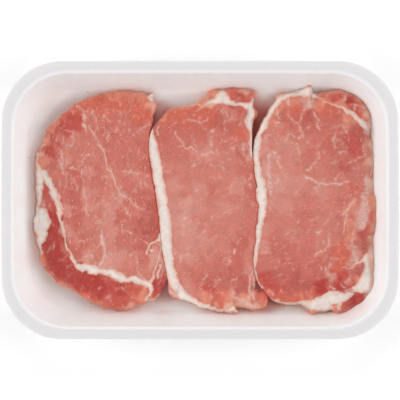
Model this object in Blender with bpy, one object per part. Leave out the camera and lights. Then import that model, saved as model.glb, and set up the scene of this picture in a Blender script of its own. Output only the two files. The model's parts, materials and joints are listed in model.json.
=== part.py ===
"""Meat tray pack: an open foam tray with three raw boneless pork loin chops side by side in it.

The tray stands on z = 0 with its middle over the origin, its long side along X and its mouth up.
Sizes below are in millimetres, and MM turns them into Blender's metres as each mesh is made.
"""

import math

import bmesh
import bpy

MM = 0.001

# The foam tray: one sheet formed into a flat rim, sloping walls and a rounded floor corner.
TRAY_LENGTH = 210.0
TRAY_WIDTH = 147.0
TRAY_HEIGHT = 25.0
FOAM = 3.2  # thickness of the sheet
TRAY_CORNER = 31.0  # radius of the rim's corners, seen from above
CORNER_EASING = 0.45  # how much of an inset the corner radius loses, so that the floor stays round
LONG_SIDE_BOW = 0.4  # how far each long side swells past a straight line
SHORT_SIDE_BOW = 0.9
RIM_WIDTH = 5.2  # flat band on top, up to where the wall turns down
RIM_EDGE = 0.6  # rounding of the rim's outer edges
LIP_RADIUS = 1.8  # from the rim into the wall
UNDER_RIM_RADIUS = 1.2  # from the outer wall into the rim's underside
WALL_ANGLE = math.radians(66.0)  # up from the floor
FLOOR_RADIUS = 9.0  # inside, from the wall to the floor
CORNER_STEPS = 12
SIDE_STEPS = 6

# The chops: slices of loin, thickest in the middle, with soft rounded edges.
GAP = 0.4  # clearance between pieces that touch
CHOP_TOP = 16.6  # height of a chop's crown above the table
CROWN_DROP = 1.5  # how much lower the top is where its shoulder starts
SHOULDER = 2.4  # rounding of the top edge
BULGE = 0.9  # how far the side swells past its top and bottom edges
BOTTOM_EDGE = 1.8  # height of the rounding under the side
OUTLINE_STEPS = 2  # ring points for each stretch of outline between two named points
SIDE_LEVELS = (-1.0, -0.4, 0.2, 0.8)  # from the foot of the side, -1, to the shoulder, 1
SHOULDER_STEPS = 3
TOP_SHARES = (0.86, 0.64, 0.40, 0.16)  # each ring's share of the way from the middle to the shoulder
BOTTOM_INSETS = (13.0, 8.0, 4.5, 2.2)

# The lines along which two neighbours press together, from the head end to the foot.
LEFT_SEAM = ((-26.5, 31.0), (-26.3, 22.0), (-24.7, 11.2), (-22.5, -2.0),
             (-20.5, -15.5), (-18.8, -28.5), (-17.5, -39.5))
RIGHT_SEAM = ((28.2, 31.0), (28.4, 22.0), (29.3, 13.0), (30.3, 3.0), (30.4, -9.0),
              (30.2, -21.5), (29.6, -33.5), (30.9, -42.0), (33.6, -47.4))

# The rest of each chop's outline: its foot, its free side if it has one, and its head.
LEFT_CHOP = ((-17.6, -47.0), (-21.5, -53.2), (-31.5, -56.6), (-42.0, -58.2), (-53.5, -55.6),
             (-63.2, -51.6), (-72.8, -44.4), (-80.6, -36.4), (-84.8, -26.0), (-87.2, -13.5),
             (-86.6, 0.0), (-86.8, 14.5), (-85.6, 25.0), (-80.4, 39.0), (-73.2, 46.9),
             (-64.2, 53.0), (-54.0, 57.2), (-42.0, 58.9), (-31.0, 57.2), (-24.2, 51.0),
             (-24.6, 42.0))
MIDDLE_FOOT = ((36.0, -52.0), (32.6, -57.4), (25.5, -58.4), (17.0, -59.6), (7.0, -58.6),
               (-2.5, -55.6), (-11.0, -52.2), (-16.2, -47.0))
MIDDLE_HEAD = ((-24.0, 40.4), (-19.0, 47.2), (-11.5, 50.2), (-1.0, 52.6), (7.5, 58.4),
               (18.0, 59.9), (27.8, 58.6), (29.4, 51.5), (28.4, 42.0))
RIGHT_CHOP = ((38.2, -52.8), (47.0, -56.6), (59.0, -60.0), (72.0, -59.0), (84.0, -55.8),
              (90.6, -48.4), (91.0, -38.0), (89.8, -27.0), (92.0, -17.0), (93.4, -5.5),
              (92.6, 5.0), (93.2, 18.5), (92.4, 31.5), (90.2, 43.5), (87.0, 52.2), (79.0, 57.8),
              (68.0, 59.0), (56.5, 58.7), (44.0, 55.4), (37.0, 48.6), (30.8, 38.4))

CHOP_MIDDLES = {"chop_left": (-53.0, 0.0), "chop_middle": (3.5, 0.0), "chop_right": (61.0, -1.0)}
MEAT_PINKS = {"chop_left": (0.60, 0.17, 0.13), "chop_middle": (0.62, 0.22, 0.18),
              "chop_right": (0.61, 0.20, 0.16)}
FOAM_WHITE = (0.80, 0.79, 0.79)


def clear_scene():
    for obj in list(bpy.data.objects):
        bpy.data.objects.remove(obj, do_unlink=True)


def new_collection(name):
    made = bpy.data.collections.new(name)
    bpy.context.scene.collection.children.link(made)
    return made


def new_material(name, colour, roughness, subsurface=0.0):
    material = bpy.data.materials.new(name)
    material.use_nodes = True
    shader = material.node_tree.nodes["Principled BSDF"]
    shader.inputs["Base Color"].default_value = (*colour, 1.0)
    shader.inputs["Roughness"].default_value = roughness
    shader.inputs["Subsurface Weight"].default_value = subsurface
    return material


def mix(low, high, share):
    return low + (high - low) * share


def arc(middle, radius, start, end, steps):
    """Points on a circle, from one angle in degrees to another, both ends included."""
    angles = (math.radians(mix(start, end, i / steps)) for i in range(steps + 1))
    return [(middle[0] + radius * math.cos(a), middle[1] + radius * math.sin(a)) for a in angles]


def loft(name, rings, middle, collection, material):
    """A closed solid through rings of equally many points, each end shut with one face."""
    bm = bmesh.new()
    rows = [[bm.verts.new(((x - middle[0]) * MM, (y - middle[1]) * MM, z * MM)) for x, y, z in ring]
            for ring in rings]
    count = len(rows[0])
    for low, high in zip(rows, rows[1:]):
        for i in range(count):
            j = (i + 1) % count
            bm.faces.new((low[i], low[j], high[j], high[i]))
    bm.faces.new(rows[0][::-1])
    bm.faces.new(rows[-1])
    bmesh.ops.recalc_face_normals(bm, faces=bm.faces)
    mesh = bpy.data.meshes.new(name)
    bm.to_mesh(mesh)
    bm.free()
    mesh.shade_smooth()
    mesh.set_sharp_from_angle(angle=math.radians(50.0))
    mesh.materials.append(material)
    piece = bpy.data.objects.new(name, mesh)
    piece.location = (middle[0] * MM, middle[1] * MM, 0.0)
    collection.objects.link(piece)
    return piece


# The tray's section is a list of (inset from the rim's edge, height), once round the sheet.


def wall_run(low, high):
    """How far the wall moves inwards while it drops from one height to another."""
    return (high - low) / math.tan(WALL_ANGLE)


def floor_corner():
    """The middle of the arcs that turn the wall into the floor, as inset and height."""
    sine, cosine = math.sin(WALL_ANGLE), math.cos(WALL_ANGLE)
    lip_foot = TRAY_HEIGHT - LIP_RADIUS * (1.0 - cosine)
    wall_foot = FOAM + FLOOR_RADIUS * (1.0 - cosine)
    inset = RIM_WIDTH + LIP_RADIUS * sine + wall_run(wall_foot, lip_foot) + FLOOR_RADIUS * sine
    return inset, FOAM + FLOOR_RADIUS


def inner_section():
    """From the rim's outer edge over the lip and down the wall to the floor."""
    slope = math.degrees(WALL_ANGLE)
    rim_edge = arc((RIM_EDGE, TRAY_HEIGHT - RIM_EDGE), RIM_EDGE, 180.0, 90.0, 2)
    lip = arc((RIM_WIDTH, TRAY_HEIGHT - LIP_RADIUS), LIP_RADIUS, 90.0, 90.0 - slope, 3)
    corner = arc(floor_corner(), FLOOR_RADIUS, 270.0 - slope, 270.0, 5)
    return rim_edge + lip + corner


def outer_section():
    """From the underside of the floor up the outer wall and out to the rim's edge."""
    slope = math.degrees(WALL_ANGLE)
    under_rim = TRAY_HEIGHT - FOAM
    corner = arc(floor_corner(), FLOOR_RADIUS + FOAM, 270.0, 270.0 - slope, 4)
    foot_inset, foot_height = corner[-1]
    meeting = foot_inset - wall_run(foot_height, under_rim)
    reach = UNDER_RIM_RADIUS * math.tan(WALL_ANGLE / 2.0)
    turn_middle = (meeting - reach, under_rim - UNDER_RIM_RADIUS)
    turn = arc(turn_middle, UNDER_RIM_RADIUS, 90.0 - slope, 90.0, 2)
    rim_edge = arc((RIM_EDGE, under_rim + RIM_EDGE), RIM_EDGE, 270.0, 180.0, 2)
    return corner + turn + rim_edge


def bow(x, y):
    """Swells the sides of the tray outwards, most at the middle of each side."""
    half_length, half_width = TRAY_LENGTH / 2.0, TRAY_WIDTH / 2.0
    stretch_x = 1.0 + SHORT_SIDE_BOW / half_length * (1.0 - (y / half_width) ** 2)
    stretch_y = 1.0 + LONG_SIDE_BOW / half_width * (1.0 - (x / half_length) ** 2)
    return x * stretch_x, y * stretch_y


def straight_half_sizes(inset):
    return (TRAY_LENGTH / 2.0 - SHORT_SIDE_BOW - inset, TRAY_WIDTH / 2.0 - LONG_SIDE_BOW - inset)


def corner_radius(inset):
    return TRAY_CORNER - CORNER_EASING * inset


def tray_ring(inset, height):
    """A rounded rectangle at an inset from the rim's edge, with its sides bowed."""
    half_x, half_y = straight_half_sizes(inset)
    radius = corner_radius(inset)
    corners = [arc((side_x * (half_x - radius), side_y * (half_y - radius)), radius,
                   90.0 * turn, 90.0 * (turn + 1), CORNER_STEPS)
               for turn, (side_x, side_y) in enumerate(((1, 1), (-1, 1), (-1, -1), (1, -1)))]
    points = []
    for corner, following in zip(corners, corners[1:] + corners[:1]):
        points += corner
        points += [(mix(corner[-1][0], following[0][0], i / SIDE_STEPS),
                    mix(corner[-1][1], following[0][1], i / SIDE_STEPS))
                   for i in range(1, SIDE_STEPS)]
    return [(*bow(x, y), height) for x, y in points]


def make_tray(collection):
    section = outer_section() + inner_section()[1:]
    rings = [tray_ring(inset, height) for inset, height in section]
    foam = new_material("white_foam", FOAM_WHITE, 0.55)
    return loft("tray", rings, (0.0, 0.0), collection, foam)


# A chop lies on the inner surface of the tray, and up its wall where the chop reaches that far.


def outside(x, y, inset):
    """How far a point is outside the tray's straight-sided outline at an inset; inside is negative."""
    half_x, half_y = straight_half_sizes(inset)
    radius = corner_radius(inset)
    past_x, past_y = abs(x) - (half_x - radius), abs(y) - (half_y - radius)
    return (math.hypot(max(past_x, 0.0), max(past_y, 0.0))
            + min(max(past_x, past_y), 0.0) - radius)


def inset_at(x, y):
    """The inset whose outline passes through a point, found by halving a range."""
    full_x, full_y = bow(x, y)
    x, y = x * x / full_x if full_x else x, y * y / full_y if full_y else y
    low, high = 0.0, TRAY_WIDTH / 4.0
    for _ in range(24):
        half = (low + high) / 2.0
        low, high = (half, high) if outside(x, y, half) < 0.0 else (low, half)
    return low


def seat_height(x, y):
    """Height of the tray's inner surface at a point."""
    inset, section = inset_at(x, y), inner_section()
    for (near, near_z), (far, far_z) in zip(section, section[1:]):
        if near <= inset < far:
            return mix(near_z, far_z, (inset - near) / (far - near))
    return FOAM


def through(points):
    """A closed smooth curve through every point: each stretch is a Catmull-Rom cubic, which leaves
    a point in the direction from the one before it to the one after it."""
    curve = []
    count = len(points)
    for i in range(count):
        before, start, end, after = (points[(i + k) % count] for k in (-1, 0, 1, 2))
        for step in range(OUTLINE_STEPS):
            t = step / OUTLINE_STEPS
            curve.append(tuple(
                0.5 * (2 * b + (c - a) * t + (2 * a - 5 * b + 4 * c - d) * t ** 2
                       + (3 * b - a - 3 * c + d) * t ** 3)
                for a, b, c, d in zip(before, start, end, after)))
    return curve


def beside(seam, side):
    """A seam's points moved half a gap to one side, -1 or 1 along X."""
    return [(x + side * GAP / 2.0, y) for x, y in seam]


def drawn_in(point, middle, inset):
    """A point moved an inset towards the chop's middle."""
    share = 1.0 - inset / math.dist(point, middle)
    return mix(middle[0], point[0], share), mix(middle[1], point[1], share)


def chop_column(point, middle):
    """One line of points up the side of a chop, from under it to near the middle of its top."""
    column = []
    for inset in BOTTOM_INSETS:
        x, y = drawn_in(point, middle, inset + BULGE)
        column.append((x, y, seat_height(x, y) + GAP))
    rim_top = CHOP_TOP - CROWN_DROP
    foot = max(FOAM + GAP + BOTTOM_EDGE, seat_height(*point) + GAP)
    head = max(rim_top - SHOULDER, (foot + rim_top) / 2.0)
    for level in SIDE_LEVELS:
        x, y = drawn_in(point, middle, BULGE * level ** 2)
        column.append((x, y, mix(foot, head, (level + 1.0) / 2.0)))
    for step in range(SHOULDER_STEPS + 1):
        turn = math.pi / 2.0 * step / SHOULDER_STEPS
        x, y = drawn_in(point, middle, BULGE + SHOULDER * (1.0 - math.cos(turn)))
        column.append((x, y, mix(head, rim_top, math.sin(turn))))
    shoulder_x, shoulder_y, _ = column[-1]
    for share in TOP_SHARES:
        column.append((mix(middle[0], shoulder_x, share), mix(middle[1], shoulder_y, share),
                       CHOP_TOP - CROWN_DROP * share ** 2))
    return column


def make_chop(name, points, collection):
    middle = CHOP_MIDDLES[name]
    columns = [chop_column(point, middle) for point in through(points)]
    meat = new_material(f"pork_{name}", MEAT_PINKS[name], 0.4, 0.2)
    return loft(name, list(zip(*columns)), middle, collection, meat)


def main():
    clear_scene()
    pack = new_collection("meat_tray_pack")
    make_tray(pack)
    make_chop("chop_left", (*beside(LEFT_SEAM, -1), *LEFT_CHOP), pack)
    make_chop("chop_middle", (*beside(RIGHT_SEAM, -1), *MIDDLE_FOOT,
                              *beside(LEFT_SEAM[::-1], 1), *MIDDLE_HEAD), pack)
    make_chop("chop_right", (*beside(RIGHT_SEAM, 1), *RIGHT_CHOP), pack)


main()
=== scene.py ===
# %% [markdown]
# # Three pork loin chops on a foam tray
#
# A supermarket meat tray holds three raw boneless pork chops. Two things have to look right: the
# quiet white foam, and the wet, marbled cut face of the meat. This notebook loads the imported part,
# which fixes every size, and then builds finer surfaces over it with numpy. Each step says what the
# thing is, how it could be made, and why this way was chosen.

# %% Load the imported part
import json
import math
from functools import partial

import bpy
import numpy as np
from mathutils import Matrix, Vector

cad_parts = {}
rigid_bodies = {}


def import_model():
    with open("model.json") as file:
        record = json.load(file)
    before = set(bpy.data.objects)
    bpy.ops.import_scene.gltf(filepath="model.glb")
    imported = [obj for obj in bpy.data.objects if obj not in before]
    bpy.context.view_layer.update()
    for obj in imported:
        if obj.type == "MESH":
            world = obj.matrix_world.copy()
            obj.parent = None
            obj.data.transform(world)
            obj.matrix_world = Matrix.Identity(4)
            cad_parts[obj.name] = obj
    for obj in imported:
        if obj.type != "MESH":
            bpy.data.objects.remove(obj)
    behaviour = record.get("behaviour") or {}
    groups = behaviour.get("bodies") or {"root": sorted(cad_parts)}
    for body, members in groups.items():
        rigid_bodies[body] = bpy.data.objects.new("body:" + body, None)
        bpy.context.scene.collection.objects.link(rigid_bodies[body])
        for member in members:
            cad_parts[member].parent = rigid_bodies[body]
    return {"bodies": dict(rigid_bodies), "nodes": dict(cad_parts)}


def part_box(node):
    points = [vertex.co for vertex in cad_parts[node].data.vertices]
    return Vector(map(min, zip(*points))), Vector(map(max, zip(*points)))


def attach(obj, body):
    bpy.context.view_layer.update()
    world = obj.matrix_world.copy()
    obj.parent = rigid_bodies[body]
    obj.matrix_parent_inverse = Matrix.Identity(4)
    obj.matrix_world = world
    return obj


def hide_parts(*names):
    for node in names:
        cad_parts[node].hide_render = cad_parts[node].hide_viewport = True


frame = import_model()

own = set(frame["nodes"].values()) | set(frame["bodies"].values())
for thing in list(bpy.data.objects):
    if thing not in own:
        bpy.data.objects.remove(thing, do_unlink=True)
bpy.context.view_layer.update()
MM = 0.001

# %% [markdown]
# ## Small tools
#
# Colours are written as the hex codes a paint chart would use. Those are sRGB values, and light
# adds up in linear values, so one function converts them. Another adds a shader node with its
# settings and links, and a third starts a material. Everything else here is a way of drawing in
# millimetres: smooth lines, soft hills, and a measure of how deep a point lies inside a stroke.


# %% Colour and node helpers
def linear(hex_code):
    """sRGB hex to linear red, green and blue: a channel c is c / 12.92 when it is dark, and
    ((c + 0.055) / 1.055) to the power 2.4 when it isn't."""
    channels = np.array([int(hex_code[i:i + 2], 16) / 255.0 for i in (1, 3, 5)])
    return np.where(channels <= 0.04045, channels / 12.92, ((channels + 0.055) / 1.055) ** 2.4)


def paint(hex_code):
    return (*linear(hex_code), 1.0)


def add(tree, kind, inputs, output=0, **settings):
    """Adds a node. inputs gives the sockets, in order or by name or number, a value or another
    node's output. What comes back is one of the new node's outputs, ready to be linked."""
    made = tree.nodes.new("ShaderNode" + kind)
    for name, value in settings.items():
        setattr(made, name, value)
    for name, value in (inputs.items() if isinstance(inputs, dict) else enumerate(inputs)):
        if isinstance(value, bpy.types.NodeSocket):
            tree.links.new(value, made.inputs[name])
        else:
            made.inputs[name].default_value = value
    return made.outputs[output]


def new_finish(name, settings):
    """A new material, its tree and its shader, which gets the settings that are the same all over."""
    material = bpy.data.materials.new(name)
    material.use_nodes = True
    shader = material.node_tree.nodes["Principled BSDF"]
    for socket, value in settings.items():
        shader.inputs[socket].default_value = value
    return material, material.node_tree, shader


print("a mid pink in linear values:", linear("#ca786a").round(3))


# %% Line helpers
def mix(low, high, share):
    return low + (high - low) * share


def smooth_step(low, high, value):
    """0 below low, 1 above high, and 3t^2 - 2t^3 between them."""
    share = np.clip((value - low) / (high - low), 0.0, 1.0)
    return share * share * (3.0 - 2.0 * share)


def arc(middle, radius, start, end, steps):
    """Points on a circle, the middle plus the radius times (cos, sin), between two angles."""
    turn = np.radians(np.linspace(start, end, steps + 1))
    return np.column_stack([middle[0] + radius * np.cos(turn), middle[1] + radius * np.sin(turn)])


def smooth_line(points, steps, closed=False):
    """A curve through every point. Each stretch is a Catmull-Rom cubic, which leaves a point in
    the direction from the one before it to the one after it."""
    points = np.asarray(points, float)
    if closed:
        around = np.concatenate([points[-1:], points, points[:2]])
    else:
        first, last = 2.0 * points[0] - points[1], 2.0 * points[-1] - points[-2]
        around = np.concatenate([[first], points, [last]])
    a, b, c, d = (around[i:len(around) - 3 + i, None] for i in range(4))
    t = (np.arange(steps) / steps)[None, :, None]
    curve = 0.5 * (2 * b + (c - a) * t + (2 * a - 5 * b + 4 * c - d) * t ** 2
                   + (3 * b - a - 3 * c + d) * t ** 3)
    curve = curve.reshape(-1, points.shape[1])
    return curve if closed else np.concatenate([curve, points[-1:]])


def travelled(line):
    """The way gone along a line at each of its points."""
    return np.concatenate([[0.0], np.cumsum(np.hypot(*np.diff(line[:, :2], axis=0).T))])


def evenly(loop, count):
    """The closed loop as count points that are equally far apart along it."""
    loop = np.concatenate([loop, loop[:1]])
    way = travelled(loop)
    wanted = np.linspace(0.0, way[-1], count, endpoint=False)
    return np.column_stack([np.interp(wanted, way, loop[:, k]) for k in range(loop.shape[1])])


def filled(line, spacing):
    """The same line with extra points, so that no two are further apart than the spacing."""
    way = travelled(line)
    wanted = np.union1d(way, np.arange(0.0, way[-1], spacing))
    wanted = wanted[np.concatenate([[True], np.diff(wanted) > spacing * 0.08])]
    return np.column_stack([np.interp(wanted, way, line[:, k]) for k in (0, 1)])


print("a quarter circle, filled to 0.3 mm:", len(filled(arc((0, 0), 2.0, 0, 90, 4), 0.3)), "points")

# %% [markdown]
# Real surfaces are never quite even. A noise that gives the same result each run can be a sum of
# cosine waves: each wave has a seeded direction, wavelength and start, and together they make soft
# hills of about one size. It works on whole arrays and needs no table.


# %% Soft hills
WAVES = 22  # cosines in one ripple


def ripple(x, y, size, seed):
    """Soft hills and hollows, mostly within 1 of zero and rarely as far as 3 from it: the sum of
    WAVES cosines whose wavelengths are near the size, divided by the root of WAVES / 2."""
    draw = np.random.default_rng(seed)
    total = np.zeros(np.broadcast(x, y).shape)
    for _ in range(WAVES):
        pace = 2.0 * math.pi / (size * draw.uniform(0.65, 1.6))
        turn, start = draw.uniform(0.0, 2.0 * math.pi, 2)
        total += np.cos(pace * (x * math.cos(turn) + y * math.sin(turn)) + start)
    return total / math.sqrt(WAVES / 2.0)


def ripples(x, y, waves, seed):
    """The sum of several ripples, each with its own height and size and the next seed."""
    return sum(height * ripple(x, y, size, seed + k) for k, (height, size) in enumerate(waves))


def hill(x, y, top_x, top_y, reach):
    """A round hill: exp(-(distance from its top / reach) squared)."""
    return np.exp(-((x - top_x) ** 2 + (y - top_y) ** 2) / reach ** 2)


def hills(spots, x, y, highest=False):
    """The sum of the hills at the spots, each its own amount high; or the highest of them."""
    parts = [amount * hill(x, y, *spot) for *spot, amount in spots]
    return np.max(parts, axis=0) if highest else np.sum(parts, axis=0)


print("a ripple reaches about", ripple(np.arange(500.0), 0.0, 6.0, seed=1).max().round(1))

# %% Brush strokes
FAR = 3.0  # depths are worked out up to this far outside a stroke, in mm


def depth_in(strokes, x, y):
    """How deep each point lies inside the nearest brush stroke, in mm. It is the stroke's half
    width there minus the distance to its line, so it is negative outside."""
    depth = np.full(x.shape, -FAR)
    for stroke in strokes:
        line = smooth_line(stroke, 3)
        reach = line[:, 2].max() + FAR
        low, high = line[:, :2].min(axis=0) - reach, line[:, :2].max(axis=0) + reach
        near = (x > low[0]) & (x < high[0]) & (y > low[1]) & (y < high[1])
        px, py, best = x[near], y[near], depth[near]
        for (ax, ay, aw), (bx, by, bw) in zip(line, line[1:]):
            run_x, run_y = bx - ax, by - ay
            length = max(run_x ** 2 + run_y ** 2, 1e-9)
            share = np.clip(((px - ax) * run_x + (py - ay) * run_y) / length, 0.0, 1.0)
            away = np.hypot(px - ax - share * run_x, py - ay - share * run_y)
            best = np.maximum(best, aw + (bw - aw) * share - away)
        depth[near] = best
    return depth


def lines(*drawn):
    """Strokes of one half width each: (half width, (x, y), (x, y), ...)."""
    return [[(x, y, half) for x, y in points] for half, *points in drawn]


test_stroke = lines((1.0, (0, 0), (9, 0)))
print("inside a stroke 2 mm wide:", depth_in(test_stroke, np.array([4.0]), np.array([0.4])))


# %% [markdown]
# Every piece here is a stack of closed rings, so one function can turn any such stack into a mesh:
# four-sided faces between neighbouring rings, and a fan of triangles to one point at each end.


# %% Rings to mesh
def ring_mesh(name, rings, material, values=None, colours=None):
    """rings is an array of shape (rows, columns, 3) in mm, from the middle of the top outwards,
    down the side and back to the middle of the underside. values are numbers kept at each point,
    and colours are linear colours kept there."""
    rows, columns = rings.shape[:2]
    ends = rings[[0, -1]].mean(axis=1)
    points = np.concatenate([rings.reshape(-1, 3), ends]) * MM
    here = np.arange(rows * columns).reshape(rows, columns)
    after = np.roll(here, -1, axis=1)
    sides = np.stack([here[:-1], here[1:], after[1:], after[:-1]], axis=-1).reshape(-1, 4)
    top, bottom = rows * columns, rows * columns + 1
    fans = np.concatenate([
        np.column_stack([np.full(columns, top), here[0], after[0]]),
        np.column_stack([np.full(columns, bottom), after[-1], here[-1]])])
    mesh = bpy.data.meshes.new(name)
    mesh.from_pydata(points.tolist(), [], sides.tolist() + fans.tolist())
    for key, value in (values or {}).items():
        spread = np.concatenate([value.ravel(), value[0].mean(keepdims=True), value[-1].mean(keepdims=True)])
        mesh.attributes.new(key, "FLOAT", "POINT").data.foreach_set("value", spread.astype(np.float32))
    for key, value in (colours or {}).items():
        spread = np.concatenate([value.reshape(-1, 3), value[[0, -1]].mean(axis=1)])
        spread = np.column_stack([spread, np.ones(len(spread))]).astype(np.float32)
        mesh.attributes.new(key, "FLOAT_COLOR", "POINT").data.foreach_set("color", spread.ravel())
    mesh.shade_smooth()
    mesh.materials.append(material)
    piece = bpy.data.objects.new(name, mesh)
    bpy.context.scene.collection.objects.link(piece)
    print(name, "has", 2 * len(sides) + len(fans), "triangles")
    return piece


# %% [markdown]
# ## The chops' outlines
#
# A boneless loin chop is a slice across the long muscle of the back. The three lie side by side and
# press together, so two neighbours share one seam. Each outline is a smooth closed line through
# points in the tray's own millimetres: the shared seam first, then the rest of the way round. A
# Bezier curve would do too, but a list of points can serve two chops. So the seams are drawn once,
# and each chop stands back from them by half of a narrow gap.

# %% Seams and outlines
SEAM_GAP = 0.12  # between two chops, in mm
LEFT_SEAM = (
    (-27, 32), (-27.2, 28), (-26.8, 22.5), (-26.2, 17), (-25.2, 11), (-23.9, 4), (-22.6, -4),
    (-21.6, -12), (-20.9, -20), (-20.1, -27), (-18.9, -33), (-18, -37.5), (-17.4, -41))
RIGHT_SEAM = (
    (28, 23), (28.3, 21), (28.8, 19), (28.7, 17), (29, 14), (29.3, 11.5), (30.1, 9), (30.2, 7),
    (29.2, 5), (29.9, 3.6), (29.2, 1.5), (29.8, -0.5), (31.3, -2.6), (30.9, -5.5), (30.7, -9),
    (30.1, -12.5), (29.4, -15.5), (29.2, -18), (29.7, -20.3), (29.1, -24), (28.5, -28), (28.3, -32),
    (28.5, -36), (29.1, -39.5), (30.3, -43), (32, -46), (33.8, -48.3), (35.2, -50))
LEFT_ROUND = (
    (-18.3, -44), (-20, -48), (-22, -51), (-24.5, -53.3), (-28, -54.5), (-31, -55.6), (-35, -57.4),
    (-39, -58.4), (-45, -58.3), (-50, -57.4), (-55, -56), (-60, -53.5), (-65, -50.2), (-70, -47),
    (-75, -44), (-79.5, -40.5), (-82.5, -36.5), (-84.5, -32), (-85.6, -27), (-86.8, -22), (-87.9, -16),
    (-88, -11), (-87.1, -6), (-86.9, 0), (-86.9, 6), (-87, 12), (-87.3, 18), (-87, 23.5), (-86.3, 26),
    (-84, 30), (-82, 35), (-81.6, 38), (-79.5, 40.3), (-74.5, 45), (-68.5, 50), (-65, 52.5), (-58, 55),
    (-52, 56.8), (-44, 58), (-40, 58.2), (-33, 57.6), (-28.7, 56.6), (-27.3, 56.4), (-26.3, 57.1),
    (-25.3, 56.9), (-25, 55.4), (-25.4, 54), (-24.3, 52.4), (-22.9, 50.5), (-23.6, 48.3), (-24.5, 45),
    (-25, 41.5), (-26.1, 38), (-26.8, 35))
MIDDLE_FOOT = (
    (36, -52.6), (35.9, -55.2), (34.9, -57), (32.3, -58), (30, -58.5), (28, -58.7), (25, -58.3),
    (22, -57.8), (20, -57.2), (18.9, -57.5), (19.1, -58), (20.4, -58.7), (20.7, -59.6), (18.9, -60.3),
    (16, -60), (10, -59.3), (6, -58.8), (3, -58), (0, -57), (-3, -55.7), (-7, -54), (-11, -52.5),
    (-14.5, -51), (-16.1, -49), (-17, -46.3), (-17.1, -43.5))
MIDDLE_HEAD = (
    (-26.6, 34), (-26, 36.3), (-24.5, 39.5), (-22.5, 42.2), (-20.3, 45), (-18, 47.2), (-15.5, 48.7),
    (-12, 49.6), (-9, 50.2), (-6, 50.5), (-4, 51.2), (-1, 52.7), (1.5, 54.8), (4, 57), (6.5, 58.7),
    (8.3, 59.3), (11, 59.2), (14.5, 59.2), (15.7, 59.8), (20, 59.7), (25, 59.6), (27.3, 59),
    (29.4, 58.2), (29.9, 57), (29.6, 55.5), (29, 53.5), (28.6, 51), (28.6, 49), (29.1, 47), (28.8, 45),
    (28.4, 42.5), (28.3, 40), (28.1, 37), (27.8, 34), (27.6, 31), (27.5, 27.5), (27.7, 25))
RIGHT_ROUND = (
    (36.2, -51.2), (37.8, -52.8), (40, -54.5), (42.2, -55.2), (45, -55.8), (48.3, -55.9), (50, -55.7),
    (52.5, -55.8), (54.2, -56.4), (55.5, -57.4), (57.5, -59), (60, -60.6), (62, -60.3), (63.7, -59.6),
    (67, -59.4), (69.5, -59.2), (72, -59.6), (74.5, -60.2), (76.6, -59.8), (79, -59), (81.8, -57.9),
    (84, -56.7), (86.6, -55.3), (88.2, -53.7), (88.7, -51.4), (89.5, -49.8), (91, -48.9), (91.7, -46.5),
    (91.4, -43), (91.1, -39), (90.9, -35), (90.9, -31), (91.3, -28.5), (91.2, -26.5), (91, -24.5),
    (91, -22), (91.3, -19.9), (91.1, -18), (92.5, -15.5), (93.4, -12.9), (93.8, -10), (93.9, -7),
    (93.5, -3), (92.8, 0.5), (91.4, 4), (90.2, 7.7), (90, 12), (90, 17), (89.9, 23), (89.8, 29),
    (89.7, 34), (90.8, 37.5), (91.1, 41), (90.8, 44), (89.8, 46), (88.6, 48.5), (88, 49.8), (87, 51.4),
    (85.5, 53.2), (83.5, 54.9), (81, 56.3), (78.3, 57.3), (76.6, 58.1), (75.2, 58.5), (70, 58.3),
    (66.5, 57.5), (63, 57.3), (60.9, 57.3), (60.1, 57.4), (60, 58.8), (59.3, 60.1), (57.9, 60.5),
    (56.4, 59.8), (54.6, 58.8), (52, 57.8), (48.3, 57.7), (44.9, 57), (42, 56.4), (40.6, 55.3),
    (40.5, 53.8), (38.5, 51.1), (36.6, 48.4), (34.9, 45.4), (33.2, 42.4), (31.8, 39.5), (30.6, 36.2),
    (29.4, 33.6), (28.8, 30.8), (28.4, 27.5), (28.1, 25))
COLUMNS = 720  # points round each chop


def beside(seam, side):
    """The seam moved half a gap to the left (side -1) or to the right (side 1)."""
    return [(x + side * SEAM_GAP / 2.0, y) for x, y in seam]


outlines = {
    "left": (*beside(LEFT_SEAM, -1), *LEFT_ROUND),
    "middle": (*beside(RIGHT_SEAM, -1), *MIDDLE_FOOT, *beside(LEFT_SEAM[::-1], 1), *MIDDLE_HEAD),
    "right": (*beside(RIGHT_SEAM, 1), *RIGHT_ROUND)}
for name, points in outlines.items():
    loop = evenly(smooth_line(points, 6, closed=True), COLUMNS)
    area = 0.5 * np.sum(loop[:, 0] * np.roll(loop[:, 1], -1) - np.roll(loop[:, 0], -1) * loop[:, 1])
    outlines[name] = loop if area > 0.0 else loop[::-1]
    print(name, "chop: cut face of", round(abs(area) / 100.0, 1), "cm2")

# %% [markdown]
# ## The tray
#
# The tray is one sheet of expanded polystyrene foam, pressed hot into a shape with a flat rim,
# steep walls and a round corner down to the floor. Its sheet is 3.2 mm thick everywhere. It could be
# a rounded box with a Solidify modifier, but then the rim's flat band and the lip's small radius
# would be hard to set. Here a section, which is inset from the rim's edge against height, is carried
# round an outline whose corners grow tighter as it goes in.

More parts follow.
